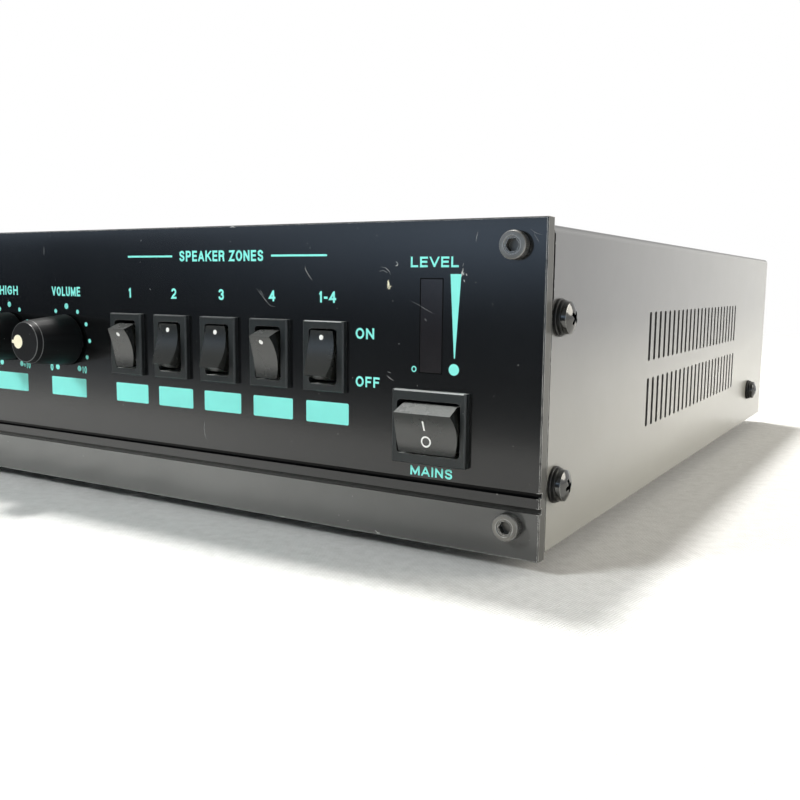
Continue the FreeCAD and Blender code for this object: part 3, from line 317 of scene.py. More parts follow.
def finish(name, colour, roughness, metallic=0.0, specular=0.5, coat=0.0, coatRoughness=0.1,
           drift=0.12, grain=900, relief=0.04, glossDrift=0.12, stretch=(1, 1, 1),
           wearAndHighlight=None, rim=None, dust=0.0, dustAndLitTops=0.0, pale=None, paintedReflectionColour=None,
           sheen=None, deep=None, coated=None):
    # a finish with drifting colour, uneven gloss and fine relief, and where asked pale edges that are rubbed
    # paint on the panel and cover and painted highlights elsewhere, specks of dust, a painted reflection,
    # painted shade in hollows, and on what faces up a pale film of settled dust and painted light
    look = surfaceLook(name)
    look.give({"Metallic": metallic, "Specular IOR Level": specular, "Coat Weight": coat,
               "Coat Roughness": coatRoughness})
    base = look.mix(look.patches(patterns["tone"]), tuple(part * (1 - drift) for part in colour),
                    tuple(min(1.0, part * (1 + drift)) for part in colour))
    # painted reflection: paler where the glossy paint mirrors the room and the table
    if pale:
        base = look.mix(pale(look), base, paintedReflectionColour)
    if sheen:
        look.give({"Specular IOR Level": sheen(look)})
    if coated:
        look.give({"Coat Weight": coated(look)})
    # painted shade: darker within the given hollows
    if deep:
        base = look.mix(deep(look), base, tuple(part * dustAndShade["sunk"] for part in colour))
    # a pale film on what faces up: settled dust, and painted light on the lit tops
    if dustAndLitTops:
        upward = look.span(look.facing("Z"), dustAndShade["filmFrom"], dustAndShade["filmTo"], 0.0, dustAndLitTops)
        dustAndLitTopsFilm = look.maths("MULTIPLY", upward, look.patches(patterns["dustAndLitTopsFilm"], dustAndShade["filmThin"], 1.0))
        base = look.mix(dustAndLitTopsFilm, base, dustAndShade["dustAndLitTopsFilm"])
    # rubbed edges on the paint, and painted highlights on the edges of screws, washers, knobs and bezels
    if wearAndHighlight:
        # how far it reaches in metres, the scale of its breaks, where they begin and end, its colour
        width, scale, least, most, metal = wearAndHighlight
        edgeWearAndHighlight = look.maths("MULTIPLY", look.edges(width), look.patches((scale, 6, 0.75, least, most)))
        if rim:
            edgeWearAndHighlight = look.maths("MULTIPLY", edgeWearAndHighlight, rim(look))
        base = look.mix(edgeWearAndHighlight, base, metal)
    if dust:
        specks = look.maths("MULTIPLY", look.span(look.cells(dustAndShade["speckCells"]), 0.03, 0.07, 1.0, 0.0),
                            look.patches(patterns["speckled"], 0.0, dust))
        base = look.mix(specks, base, dustAndShade["speck"])
    least = max(0.02, roughness - glossDrift / 2)
    gloss = look.patches(patterns["gloss"], least, roughness + glossDrift / 2)
    look.give({"Base Color": base, "Roughness": gloss})
    look.bump(look.noise(grain, 3, 0.6, stretch), relief)
    finishes[name] = look.material


# where the panel's and the cover's paint, painted reflection and gloss change, in metres, and how much of the
# change each place takes;
# sideFrom and sideTo are parts of the normal
panelMask = {"rim": 0.0012, "headRim": 0.55, "stripLow": 0.0128, "stripHigh": 0.014, "stripPale": (0.62, 0.3),
             "right": (0.1, 0.19), "endFrom": 0.00004, "endTo": 0.00002, "endPale": 0.5, "dull": (0.85, 0.62),
             "middle": (-0.05, 0.08), "middleDull": (0.82, 1.0), "grooveFrom": 0.0001, "grooveTo": 0.0004,
             "grooveDull": 0.15}
coverMask = {"sideFrom": 0.7, "sideTo": 0.95, "topCoat": 0.12, "front": 0.02, "rearPale": 0.8, "foot": 0.06,
             "footPale": 0.9}


def panelRim(look):
    # keeps the panel's bare line to its outer edges, so grooves and cut-outs stay painted
    rim = panelMask["rim"]
    side = look.span(look.aside(), panelHigh.x - rim, panelHigh.x - rim / 2)
    foot = look.span(look.axis("Z"), panelLow.z + rim / 2, panelLow.z + rim, 1.0, 0.0)
    head = look.span(look.axis("Z"), panelHigh.z - rim, panelHigh.z - rim / 2, 0.0, panelMask["headRim"])
    return look.maths("MAXIMUM", side, foot, head)


def panelPaintedReflection(look):
    # the strip under the grooves and the panel's ends are painted paler: a painted reflection of the lit
    # table on the strip and of the bright room on the ends
    low, high = panelLow.z + panelMask["stripLow"], panelLow.z + panelMask["stripHigh"]
    strip = look.maths("MULTIPLY", look.span(look.axis("Z"), low, high, 1.0, 0.0),
                       look.span(look.axis("X"), *panelMask["right"], *panelMask["stripPale"]),
                       look.patches(patterns["reflectedPatches"], 0.92, 1.0))
    end = look.span(look.aside(), panelHigh.x - panelMask["endFrom"], panelHigh.x - panelMask["endTo"],
                    0.0, panelMask["endPale"])
    return look.maths("MAXIMUM", strip, end)


def panelSheen(look):
    # the panel's gloss is duller at its right end and left of its middle, and nearly gone in its grooves
    low, high = panelLow.y + panelMask["grooveFrom"], panelLow.y + panelMask["grooveTo"]
    return look.maths("MULTIPLY", look.span(look.axis("X"), *panelMask["right"], *panelMask["dull"]),
                      look.span(look.axis("X"), *panelMask["middle"], *panelMask["middleDull"]),
                      look.span(look.axis("Y"), low, high, 1.0, panelMask["grooveDull"]))


def coverSides(look):
    # 1 where the cover faces sideways, whose paint has kept its gloss
    sideways = look.maths("ABSOLUTE", look.facing("X"))
    return look.span(sideways, coverMask["sideFrom"], coverMask["sideTo"], coverMask["topCoat"], 1.0)


def coverPaintedReflection(look):
    # the cover's sides are painted paler towards their rear and foot, a painted reflection of the bright room
    # and table
    rear = look.span(look.axis("Y"), coverLow.y + coverMask["front"], coverHigh.y, 0.0, coverMask["rearPale"])
    foot = look.span(look.axis("Z"), coverLow.z, coverLow.z + coverMask["foot"], coverMask["footPale"], 0.0)
    return look.maths("MULTIPLY", coverSides(look), look.maths("MINIMUM", look.maths("ADD", rear, foot), 1.0))


screwLow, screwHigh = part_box("panel_screws")
capRadius, socketEdge = 0.0037, (0.00195, 0.00205)
capMiddle = (screwHigh.x - capRadius, (screwHigh.z - screwLow.z) / 2 - capRadius,
             (screwHigh.z + screwLow.z) / 2)


def inSockets(look):
    # 1 within the hexagon sockets of the four panel screws, where painted shade darkens the steel
    across = look.maths("SUBTRACT", look.aside(), capMiddle[0])
    level = look.maths("ABSOLUTE", look.maths("SUBTRACT", look.axis("Z"), capMiddle[2]))
    level = look.maths("SUBTRACT", level, capMiddle[1])
    squares = look.maths("ADD", look.maths("MULTIPLY", across, across), look.maths("MULTIPLY", level, level))
    return look.span(look.maths("SQRT", squares), *socketEdge, 1.0, 0.0)


rubbedMetal = (0.66, 0.66, 0.64)
finish("panelPaint", (0.0036, 0.0039, 0.0042), 0.15, glossDrift=0.03, grain=1500, relief=0.01, drift=0.2,
       dust=0.8, rim=panelRim, pale=panelPaintedReflection, paintedReflectionColour=(0.24, 0.24, 0.23), sheen=panelSheen,
       wearAndHighlight=(0.0003, 420, 0.3, 0.52, rubbedMetal))
finish("coverPaint", (0.04, 0.04, 0.037), 0.4, coat=1.0, coatRoughness=0.27, glossDrift=0.03, grain=1400,
       relief=0.008, dust=0.12, drift=0.05, pale=coverPaintedReflection, paintedReflectionColour=(0.36, 0.354, 0.315),
       coated=coverSides, wearAndHighlight=(0.0003, 320, 0.5, 0.66, rubbedMetal))
finish("zincSteel", (0.6, 0.61, 0.63), 0.36, metallic=1, grain=500, relief=0.05)
# the panel screws' sockets are darkened as painted shade, and the screw and washer edges painted paler as
# highlights
finish("dullSteel", (0.235, 0.228, 0.212), 0.36, metallic=0.8, drift=0.35, grain=900, relief=0.1,
       deep=inSockets, wearAndHighlight=(0.00014, 700, 0.15, 0.45, (0.85, 0.85, 0.83)))
finish("blackScrew", (0.075, 0.075, 0.073), 0.13, metallic=1, drift=0.3, grain=700, relief=0.05,
       wearAndHighlight=(0.0002, 500, 0.3, 0.6, (0.5, 0.5, 0.47)))
finish("blackWasher", (0.035, 0.035, 0.034), 0.38, metallic=1, drift=0.3, grain=700, relief=0.06,
       wearAndHighlight=(0.00015, 500, 0.45, 0.7, (0.3, 0.3, 0.28)))
finish("nickel", (0.68, 0.66, 0.6), 0.2, metallic=1, grain=400, relief=0.03)
finish("aluminium", (0.7, 0.7, 0.71), 0.33, metallic=1, grain=300, relief=0.06, stretch=(1, 20, 1))
finish("blackAnodised", (0.02, 0.02, 0.021), 0.5, metallic=0.3, grain=500)
finish("rubber", (0.02, 0.02, 0.02), 0.75, specular=0.3, grain=700, relief=0.15)
# the knobs' and bezels' edges are painted paler as highlights, and their tops paler with dust and painted
# light
finish("knobPlastic", (0.0046, 0.005, 0.0058), 0.5, grain=1600, relief=0.03, specular=0.2, dust=0.6,
       dustAndLitTops=0.03, wearAndHighlight=(0.00018, 900, 0.1, 0.3, (0.16, 0.16, 0.16)))
# the rockers' tops are paler with dust and painted light, the mains rocker's most
for name, dustAndLitTops in (("rockerPlastic", 0.25), ("mainsPlastic", 1.0)):
    finish(name, (0.0155, 0.0163, 0.0142), 0.25, specular=1.0, grain=1700, relief=0.01, dust=0.3,
           dustAndLitTops=dustAndLitTops)
finish("bezelPlastic", (0.0125, 0.016, 0.0163), 0.4, specular=0.55, grain=1500, relief=0.03, dust=0.5,
       dustAndLitTops=1.0, wearAndHighlight=(0.00018, 800, 0.35, 0.6, (0.2, 0.2, 0.2)))
finish("smokedWindow", (0.0085, 0.0062, 0.0068), 0.2, specular=0.75, grain=300, relief=0.01, dust=0.5)
finish("lampPlastic", (0.3, 0.02, 0.015), 0.3)
finish("board", (0.03, 0.12, 0.05), 0.45, grain=400, relief=0.05)
finish("sleeve", (0.02, 0.025, 0.08), 0.25, grain=300)
finish("coreSteel", (0.24, 0.24, 0.25), 0.45, metallic=0.8, grain=200, relief=0.3, stretch=(1, 30, 1))
finish("windingTape", (0.5, 0.36, 0.07), 0.4, grain=300, stretch=(1, 1, 12))
finish("gap", (0.002, 0.002, 0.002), 0.8, specular=0.1)
finish("paintedEdgeHighlight", (0.13, 0.133, 0.135), 0.3, drift=0.6, grain=1500, relief=0.1)
finish("brightPaintedHighlight", (0.75, 0.76, 0.75), 0.4, drift=0.3, grain=1500, relief=0.1)
finish("tealPrint", (0.25, 0.88, 0.8), 0.55, drift=0.05, grain=1500, relief=0.03)
finish("whitePrint", (0.85, 0.85, 0.83), 0.5, drift=0.04)
finish("creamInlay", (0.93, 0.88, 0.66), 0.42, drift=0.05)
finish("rawMetal", (0.6, 0.59, 0.56), 0.4, metallic=0.3, drift=0.2)
finish("scuff", (0.3, 0.31, 0.31), 0.6, drift=0.3)
slotFinish = {
    "panel_paint": "panelPaint", "cover_paint": "coverPaint", "zinc_steel": "zincSteel",
    "screw_steel": "dullSteel", "black_screw": "blackScrew", "nickel": "nickel",
    "bare_aluminium": "aluminium", "foot_rubber": "rubber", "knob_plastic": "knobPlastic",
    "rocker_plastic": "rockerPlastic", "switch_plastic": "bezelPlastic",
    "smoked_window": "smokedWindow", "lamp_plastic": "lampPlastic", "board": "board",
    "capacitor_sleeve": "sleeve", "core_steel": "coreSteel", "winding_tape": "windingTape",
}
slotOf = {row["node"]: row["material_slot"] for row in frame["record"]["subparts"]}
bodyOf = {node: body for body, members in frame["record"]["behaviour"]["bodies"].items() for node in members}


def finishOf(node):
    # the heat sink has its own finish, and the mains rocker a paler top than the zone rockers, of dust and
    # painted light
    own = {"heat_sink": "blackAnodised", "rocker_mains": "mainsPlastic"}
    return finishes[own.get(node, slotFinish[slotOf[node]])]


for nodeName, nodeObject in nodes.items():
    for spot in nodeObject.material_slots:
        spot.material = finishOf(nodeName)
print("finishes on", len(nodes), "nodes")


# moulded and turned pieces with eased edges

eased = {
    # how far each node's edges are rounded, in millimetres
    "zone_switch_bodies": 0.25, "mains_switch_body": 0.3, "meter_window": 0.12,
    **{"rocker_zone_" + zone: 0.3 for zone in ("1", "2", "3", "4", "all")},
    "rocker_mains": 0.58, "feet": 0.3, "speaker_terminals": 0.15, "mains_inlet": 0.2, "fuse_cap": 0.25,
    "fuse_holder": 0.2, **{node: 0.14 for node in nodes if node.startswith("knob_")},
}


def easeEdges(node, width):
    # a merged copy of the node whose sharp edges get a small round
    mesh = reworked(node + "_eased", [nodes[node].data], mergePoints, mergeFlats)
    smooth(mesh, 30)
    piece = newObject(node + "_eased", mesh, finishOf(node))
    change = piece.modifiers.new("round", "BEVEL")
    change.harden_normals = True
    change.width = width * mm
    change.segments = 3
    change.limit_method = "ANGLE"
    change.angle_limit = math.radians(34)
    change.use_clamp_overlap = True
    settle(piece)
    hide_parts(node)
    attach(piece, bodyOf[node])


for nodeName, width in eased.items():
    easeEdges(nodeName, width)
print("eased", len(eased), "nodes")


# what repeats: one tree sets copies of a shape on points

def copiesTree():
    tree = bpy.data.node_groups.new("copiesOnPoints", "GeometryNodeTree")
    for name, kind in (("Geometry", "Geometry"), ("shape", "Object"), ("overallSize", "Float"),
                       ("spin", "Float"), ("seed", "Int"), ("finish", "Material")):
        tree.interface.new_socket(name, in_out="INPUT", socket_type="NodeSocket" + kind)
    tree.interface.new_socket("Geometry", in_out="OUTPUT", socket_type="NodeSocketGeometry")
    work = nodeWork(tree)
    given = work.add("NodeGroupInput").outputs
    named = "GeometryNodeInputNamedAttribute"
    facing = work.make(named, "Attribute", {"Name": "facing"}, data_type="FLOAT_VECTOR")
    size = work.make(named, "Attribute", {"Name": "size"}, data_type="FLOAT")
    aim = work.make("FunctionNodeAlignRotationToVector", "Rotation", {"Vector": facing}, axis="Z")
    shape = work.make("GeometryNodeObjectInfo", "Geometry", {"Object": given["shape"], "As Instance": True})
    grown = work.maths("MULTIPLY", size, given["overallSize"])
    copies = work.make("GeometryNodeInstanceOnPoints", "Instances",
                       {"Points": given["Geometry"], "Instance": shape, "Rotation": aim, "Scale": grown})
    chance = work.make("FunctionNodeRandomValue", "Value", {"Max": given["spin"], "Seed": given["seed"]},
                       data_type="FLOAT")
    about = work.make("ShaderNodeCombineXYZ", "Vector", {"Z": chance})
    turned = work.make("GeometryNodeRotateInstances", "Instances", {"Instances": copies, "Rotation": about})
    real = work.make("GeometryNodeRealizeInstances", "Geometry", {"Geometry": turned})
    painted = work.make("GeometryNodeSetMaterial", "Geometry",
                        {"Geometry": real, "Material": given["finish"]})
    work.feed(work.add("NodeGroupOutput").inputs["Geometry"], painted)
    return tree


copyTree = copiesTree()


def setOnPoints(name, shapeMesh, spots, material, spin=0.0, seed=1):
    # spots are (place, facing, size), places in metres
    shape = newObject(name + "Shape", shapeMesh)
    holder = bpy.data.meshes.new(name + "Points")
    holder.from_pydata([tuple(spot[0]) for spot in spots], [], [])
    facing = holder.attributes.new("facing", "FLOAT_VECTOR", "POINT")
    facing.data.foreach_set("vector", [part for spot in spots for part in spot[1]])
    size = holder.attributes.new("size", "FLOAT", "POINT")
    size.data.foreach_set("value", [spot[2] for spot in spots])
    piece = newObject(name, holder)
    change = piece.modifiers.new("copies", "NODES")
    change.node_group = copyTree
    values = {"shape": shape, "overallSize": 1.0, "spin": spin, "seed": seed, "finish": material}
    for socket in copyTree.interface.items_tree:
        if socket.in_out == "INPUT" and socket.name in values:
            change[socket.identifier] = values[socket.name]
    settle(piece)
    bpy.data.objects.remove(shape)
    return piece


# screws

capScrew = {"radius": 3.7, "tall": 2.88, "shoulder": 0.42, "flats": 3.3, "mouth": 2.3, "socket": 2.3,
            "ribs": 0.16, "sides": 96}
panScrew = {"radius": 4.22, "edge": 0.8, "rim": 3.92, "rimTall": 1.5, "tall": 2.55, "cross": 2.5,
            "blade": 0.7, "deep": 1.7, "sides": 72}


def capScrewHead():
    r, t, c, m = (capScrew[key] for key in ("radius", "tall", "shoulder", "mouth"))
    profile = [(r - 0.15, 0.0), (r, 0.2), (r, t - c - 0.15), (r - 0.06, t - c)]
    shoulder = [around((r - c, t - c), math.radians(90 * step / 3), c) for step in range(1, 4)]
    profile += [(radius - 0.06, height) for radius, height in shoulder]
    profile += [(m + 0.1, t), (m, t - 0.1), (m - 0.1, t - 0.32), (0.3, t - 0.32)]
    body = lathe(profile, capScrew["sides"], capScrew["ribs"], (1, 2))
    hexagon = roundOf(0, 0, capScrew["flats"] / math.sqrt(3), 6)
    mesh = cut(body, prism(hexagon, t - capScrew["socket"], t + 1, 0.97))
    smooth(mesh, 28)
    return mesh


def panScrewHead():
    # a low dome on a rounded rim, with a cross
    r, t, rim, low = (panScrew[key] for key in ("radius", "tall", "rim", "rimTall"))
    profile = [(r - 0.12, 0.0), (r, 0.12), (r, panScrew["edge"]), (r - 0.1, low - 0.1), (rim, low)]
    for step in range(1, 8):
        angle = math.radians(90 * step / 8)
        profile.append((rim * math.cos(angle), low + (t - low) * (1 - math.cos(angle) ** 2)))
    profile.append((0.4, t))
    arm, blade = panScrew["cross"], panScrew["blade"]
    cross = [(arm, -blade), (arm, blade), (blade, blade), (blade, arm), (-blade, arm), (-blade, blade),
             (-arm, blade), (-arm, -blade), (-blade, -blade), (-blade, -arm), (blade, -arm), (blade, -blade)]
    mesh = cut(lathe(profile, panScrew["sides"]), prism(cross, t - panScrew["deep"], t + 1, 0.6))
    smooth(mesh, 28)
    return mesh


def ring(outer, inner, thick, ease, steps=64, split=0.0):
    # a washer, with a split where one is asked for
    section = [(outer - ease, 0), (outer, ease), (outer, thick - ease), (outer - ease, thick),
               (inner + ease, thick), (inner, thick - ease), (inner, ease), (inner + ease, 0)]
    count = len(section)
    opening = split / outer
    points = []
    rows = steps + (1 if split else 0)
    for step in range(rows):
        angle = opening / 2 + (math.tau - opening) * (step / steps)
        for radius, height in section:
            points.append((radius * math.cos(angle) * mm, radius * math.sin(angle) * mm, height * mm))
    faces = bands(rows, count, closed=not split)
    if split:
        faces += [tuple(range(count)), tuple(reversed(range((rows - 1) * count, rows * count)))]
    mesh = reworked("ring", [meshOf("ring", points, faces)], turnOutward)
    smooth(mesh, 40)
    return mesh


def looseBoxes(node):
    # the lowest and the highest corner of each separate solid in a node, always in the same order
    work = bmesh.new()
    work.from_mesh(nodes[node].data)
    mergePoints(work)
    left, found = set(work.verts), []
    while left:
        group, queue = [], [left.pop()]
        while queue:
            vertex = queue.pop()
            group.append(vertex.co.copy())
            for edge in vertex.link_edges:
                other = edge.other_vert(vertex)
                if other in left:
                    left.remove(other)
                    queue.append(other)
        found.append([Vector([pick(point[k] for point in group) for k in range(3)]) for pick in (min, max)])
    work.free()
    return sorted(found, key=lambda box: (round(box[0].x, 3), round(box[0].y, 3), -box[0].z))


outward = {"front": Vector((0, -1, 0)), "right": Vector((1, 0, 0)), "left": Vector((-1, 0, 0)),
           "up": Vector((0, 0, 1))}
capSpots = []
for low, high in looseBoxes("panel_screws"):
    middle = (low + high) / 2
    capSpots.append(((middle.x, panelLow.y, middle.z), outward["front"], 1.0))
panelScrews = setOnPoints("panelScrews", capScrewHead(), capSpots, finishes["dullSteel"], math.tau, 4)
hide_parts("panel_screws")
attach(panelScrews, "case")

wallRight, roofTop = coverHigh.x, coverHigh.z
headSpots, springSpots, flatSpots = [], [], []
washerThick = 0.9
for low, high in looseBoxes("cover_screws"):
    middle = (low + high) / 2
    if high.x > wallRight or low.x < -wallRight:
        side = outward["right"] if middle.x > 0 else outward["left"]
        seat = Vector((math.copysign(wallRight, middle.x), middle.y, middle.z))
        for place, spots in enumerate((flatSpots, springSpots, headSpots)):
            spots.append((seat + side * place * washerThick * mm, side, 1.0))
    else:
        headSpots.append((Vector((middle.x, middle.y, roofTop)), outward["up"], 1.0))
for name, shape, spots, node, kind in (
        ("coverScrews", panScrewHead(), headSpots, "cover_screws", "blackScrew"),
        ("springWashers", ring(4.5, 2.2, 0.88, 0.12, split=0.7), springSpots, "spring_washers",
         "blackWasher"),
        ("flatWashers", ring(4.93, 2.2, 0.88, 0.16), flatSpots, "flat_washers", "blackWasher")):
    piece = setOnPoints(name, shape, spots, finishes[kind], math.tau, 7)
    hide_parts(node)
    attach(piece, "case")
print("screws:", len(capSpots), "in the panel,", len(headSpots), "in the cover")


# print on the panel

printed = []


def filled(outlines, place):
    # a flat mesh within outlines, its points moved to where place sets them
    curve = bpy.data.curves.new("flat", "CURVE")
    curve.dimensions = "2D"
    curve.fill_mode = "BOTH"
    for line in outlines:
        spline = curve.splines.new("POLY")
        spline.points.add(len(line) - 1)
        for point, (x, up) in zip(spline.points, line):
            point.co = (x, up, 0, 1)
        spline.use_cyclic_u = True
    holder = newObject("flat", curve)
    mesh = bake(holder)
    bpy.data.objects.remove(holder)
    for vertex in mesh.vertices:
        vertex.co = place(vertex.co.x, vertex.co.y)
    return mesh


def flatShape(*outlines, proud=proudPrint):
    # in millimetres on the panel
    return filled(outlines, lambda x, z: onPanel(x, z, proud))


# centre lines of the letters in a unit box, each with its width
oval = roundOf(0.5, 0.5, 0.5, 24)
oval.append(oval[0])
strokes = {
    "A": (0.92, [[(0, 0), (0.5, 1), (1, 0)], [(0.2, 0.27), (0.8, 0.27)]]),
    "E": (0.76, [[(1, 1), (0, 1), (0, 0), (1, 0)], [(0, 0.52), (0.9, 0.52)]]),
    "F": (0.72, [[(1, 1), (0, 1), (0, 0)], [(0, 0.5), (0.85, 0.5)]]),
    "G": (0.92, [[(0.97, 0.74), (0.85, 0.93), (0.6, 1), (0.3, 0.97), (0.08, 0.8), (0, 0.5), (0.08, 0.2),
                  (0.3, 0.03), (0.6, 0), (0.86, 0.1), (0.97, 0.25), (0.97, 0.48), (0.55, 0.48)]]),
    "H": (0.86, [[(0, 0), (0, 1)], [(1, 0), (1, 1)], [(0, 0.52), (1, 0.52)]]),
    "I": (0.22, [[(0.5, 0), (0.5, 1)]]),
    "K": (0.9, [[(0, 0), (0, 1)], [(0.98, 1), (0.05, 0.38)], [(0.36, 0.62), (1, 0)]]),
    "L": (0.72, [[(0, 1), (0, 0), (1, 0)]]),
    "M": (1.06, [[(0, 0), (0, 1), (0.5, 0.08), (1, 1), (1, 0)]]),
    "N": (0.88, [[(0, 0), (0, 1), (1, 0), (1, 1)]]),
    "O": (0.94, [oval]),
    "P": (0.82, [[(0, 0), (0, 1), (0.65, 1), (0.92, 0.93), (1, 0.74), (0.92, 0.54), (0.65, 0.46),
                  (0, 0.46)]]),
    "R": (0.88, [[(0, 0), (0, 1), (0.65, 1), (0.9, 0.93), (0.98, 0.76), (0.9, 0.58), (0.65, 0.51),
                  (0, 0.51)], [(0.62, 0.5), (0.88, 0.4), (0.96, 0)]]),
    "S": (0.84, [[(0.96, 0.73), (0.88, 0.91), (0.65, 1), (0.35, 1), (0.1, 0.91), (0.04, 0.75), (0.14, 0.6),
                  (0.5, 0.51), (0.86, 0.42), (0.97, 0.26), (0.88, 0.08), (0.62, 0), (0.32, 0), (0.08, 0.1),
                  (0, 0.28)]]),
    "U": (0.86, [[(0, 1), (0, 0.3), (0.1, 0.08), (0.35, 0), (0.65, 0), (0.9, 0.08), (1, 0.3), (1, 1)]]),
    "V": (0.9, [[(0, 1), (0.5, 0), (1, 1)]]),
    "W": (1.25, [[(0, 1), (0.25, 0), (0.5, 0.95), (0.75, 0), (1, 1)]]),
    "Z": (0.82, [[(0, 1), (1, 1), (0, 0), (1, 0)]]),
    "0": (0.72, [oval]),
    "1": (0.42, [[(0, 0.76), (0.5, 0.82), (0.85, 1), (0.85, 0)]]),
    "2": (0.72, [[(0.03, 0.74), (0.12, 0.93), (0.38, 1), (0.65, 1), (0.9, 0.9), (0.96, 0.7), (0.82, 0.48),
                  (0.3, 0.22), (0.05, 0), (1, 0)]]),
    "3": (0.72, [[(0.04, 0.76), (0.14, 0.93), (0.38, 1), (0.65, 1), (0.88, 0.9), (0.92, 0.72), (0.78, 0.56),
                  (0.42, 0.53)], [(0.42, 0.53), (0.84, 0.46), (0.98, 0.27), (0.88, 0.07), (0.62, 0),
                                  (0.35, 0), (0.1, 0.08), (0, 0.27)]]),
    "4": (0.76, [[(0.74, 0), (0.74, 1), (0, 0.27), (1, 0.27)]]),
    "5": (0.72, [[(0.92, 1), (0.14, 1), (0.06, 0.48), (0.32, 0.63), (0.6, 0.64), (0.9, 0.52), (1, 0.32),
                  (0.9, 0.08), (0.62, 0), (0.35, 0), (0.1, 0.08), (0, 0.25)]]),
    "-": (0.4, [[(0, 0.4), (1, 0.4)]]),
    "+": (0.6, [[(0, 0.45), (1, 0.45)], [(0.5, 0.1), (0.5, 0.8)]]),
    " ": (0.3, []),
}


# weight is a share of the height, gap one of the unit box; point and cap count half widths of the stroke;
# layers keep the pieces of a letter apart, in millimetres
lettering = {"weight": 0.2, "gap": 0.19, "point": 2.2, "cap": 1.4, "layer": 0.0015, "layers": 9}


def stroke(line, half):
    # a strip of even width along a centre line: a box for each stretch and a wedge for each bend
    closed = line[0] == line[-1]
    shapes, sides = [], []
    for (ax, az), (bx, bz) in zip(line, line[1:]):
        away = Vector((bx - ax, bz - az)).normalized()
        side = Vector((-away.y, away.x)) * half
        dx, dz = side
        sides.append(side)
        shapes.append([(ax + dx, az + dz), (ax - dx, az - dz), (bx - dx, bz - dz), (bx + dx, bz + dz)])
    for place in range(len(sides) if closed else len(sides) - 1):
        corner, first, second = Vector(line[place + 1]), sides[place], sides[(place + 1) % len(sides)]
        if first.x * second.y - first.y * second.x > 0:
            first, second = -first, -second
        across = (first + second).normalized()
        reach = min(lettering["point"] * half, half / max(0.25, across.dot(first) / half))
        tip = corner + across * reach
        shapes.append([tuple(corner), tuple(corner + first), tuple(tip), tuple(corner + second)])
    return shapes


def words(text, left, right, low, high):
    # lettering of even stroke, as wide and tall as told, its ends and corners cut level
    gap = lettering["gap"]
    whole = sum(strokes[letter][0] for letter in text) + gap * (len(text) - 1)
    across, up = (right - left) / whole, high - low
    half = lettering["weight"] * up / 2
    points, faces, x = [], [], left
    for letter in text:
        wide, lines = strokes[letter]
        inner = max(0.0, wide * across - 2 * half)
        for line in lines:
            centre = [(x + half + a * inner, low + half + b * (up - 2 * half)) for a, b in line]
            for end, beside in ((0, 1), (-1, -2)):
                away = Vector(centre[end]) - Vector(centre[beside])
                steep = abs(away.y) > abs(away.x)
                if line[0] != line[-1] and (line[end][1] in (0, 1) if steep else away.y == 0):
                    away = away.normalized() * half * (lettering["cap"] if steep else 1)
                    centre[end] = tuple(Vector(centre[end]) + away)
            for shape in stroke(centre, half):
                faces.append(tuple(range(len(points), len(points) + 4)))
                proud = proudPrint + lettering["layer"] * (len(faces) % lettering["layers"])
                points += [onPanel(a, min(high, max(low, b)), proud) for a, b in shape]
        x += (wide + gap) * across
    return reworked("words", [meshOf("words", points, faces)], turnToViewer)


dials = {"first": -188.2, "step": 31.4, "level": 50.3, "ring": 11.4, "topRing": 11.7, "dot": 0.76,
         "bigDot": 1.0, "ticks": 11, "titles": ("1", "2", "3", "4", "5", "LOW", "HIGH", "VOLUME"),
         "titleHalf": (0.65, 1.1, 1.1, 1.15, 1.1, 4.5, 5.2, 7.4), "titleHeight": (65.5, 68.75),
         "box": (33.7, 18.1, 6.5, 0.45), "scaleHeight": (38.9, 41.4),
         "plain": (("0", -9.6, -8.1), ("10", 7.1, 9.5)),
         "centred": (("-10", -10.8, -7.1), ("+10", 6.9, 10.7))}
zones = {"first": 62.4, "step": 20.15, "labelFirst": 63.3, "labelStep": 20.05,
         "titles": ("1", "2", "3", "4", "1-4"), "titleHalf": (0.7, 1.15, 1.15, 1.2, 3.1),
         "titleHeight": (65.5, 68.8), "box": (33.75, 15.1, 6.3, 0.45)}
# each text with its left, right, foot and head on the panel
panelWords = (("SPEAKER ZONES", 86.1, 120.2, 77.3, 80.6), ("ON", 153.3, 159.5, 55.6, 58.7),
              ("OFF", 153.4, 161.4, 42.1, 45.1), ("LEVEL", 171.0, 185.5, 75.5, 78.3),
              ("MAINS", 171.7, 184.8, 18.9, 21.6), ("0", 171.6, 173.2, 47.3, 49.0))
zoneLines = {"ends": ((62.9, 83.0), (123.1, 143.4)), "level": 78.9, "thick": 0.6, "corner": 0.15}
window = {"middle": (177.5, 59.9), "wide": 7.0, "tall": 25.4, "outside": 0.15, "inside": 0.45, "corner": 0.2,
          "proud": 0.025, "needle": ((183.1, 73.75), (186.3, 73.75), (184.85, 51.6), (184.55, 51.6)),
          "spot": (184.6, 48.6, 1.55)}


def onDial(place, radius, angle, proud):
    # a spot about a knob's axis, the angle clockwise from the top
    x = dials["first"] + place * dials["step"]
    return onPanel(x + radius * math.sin(angle), dials["level"] + radius * math.cos(angle), proud)


def labelled(facts, place, x):
    # a title over a control, and the field under it
    half = facts["titleHalf"][place]
    level, *size = facts["box"]
    printed.append(words(facts["titles"][place], x - half, x + half, *facts["titleHeight"]))
    printed.append(flatShape(roundedBox(x, level, *size)))


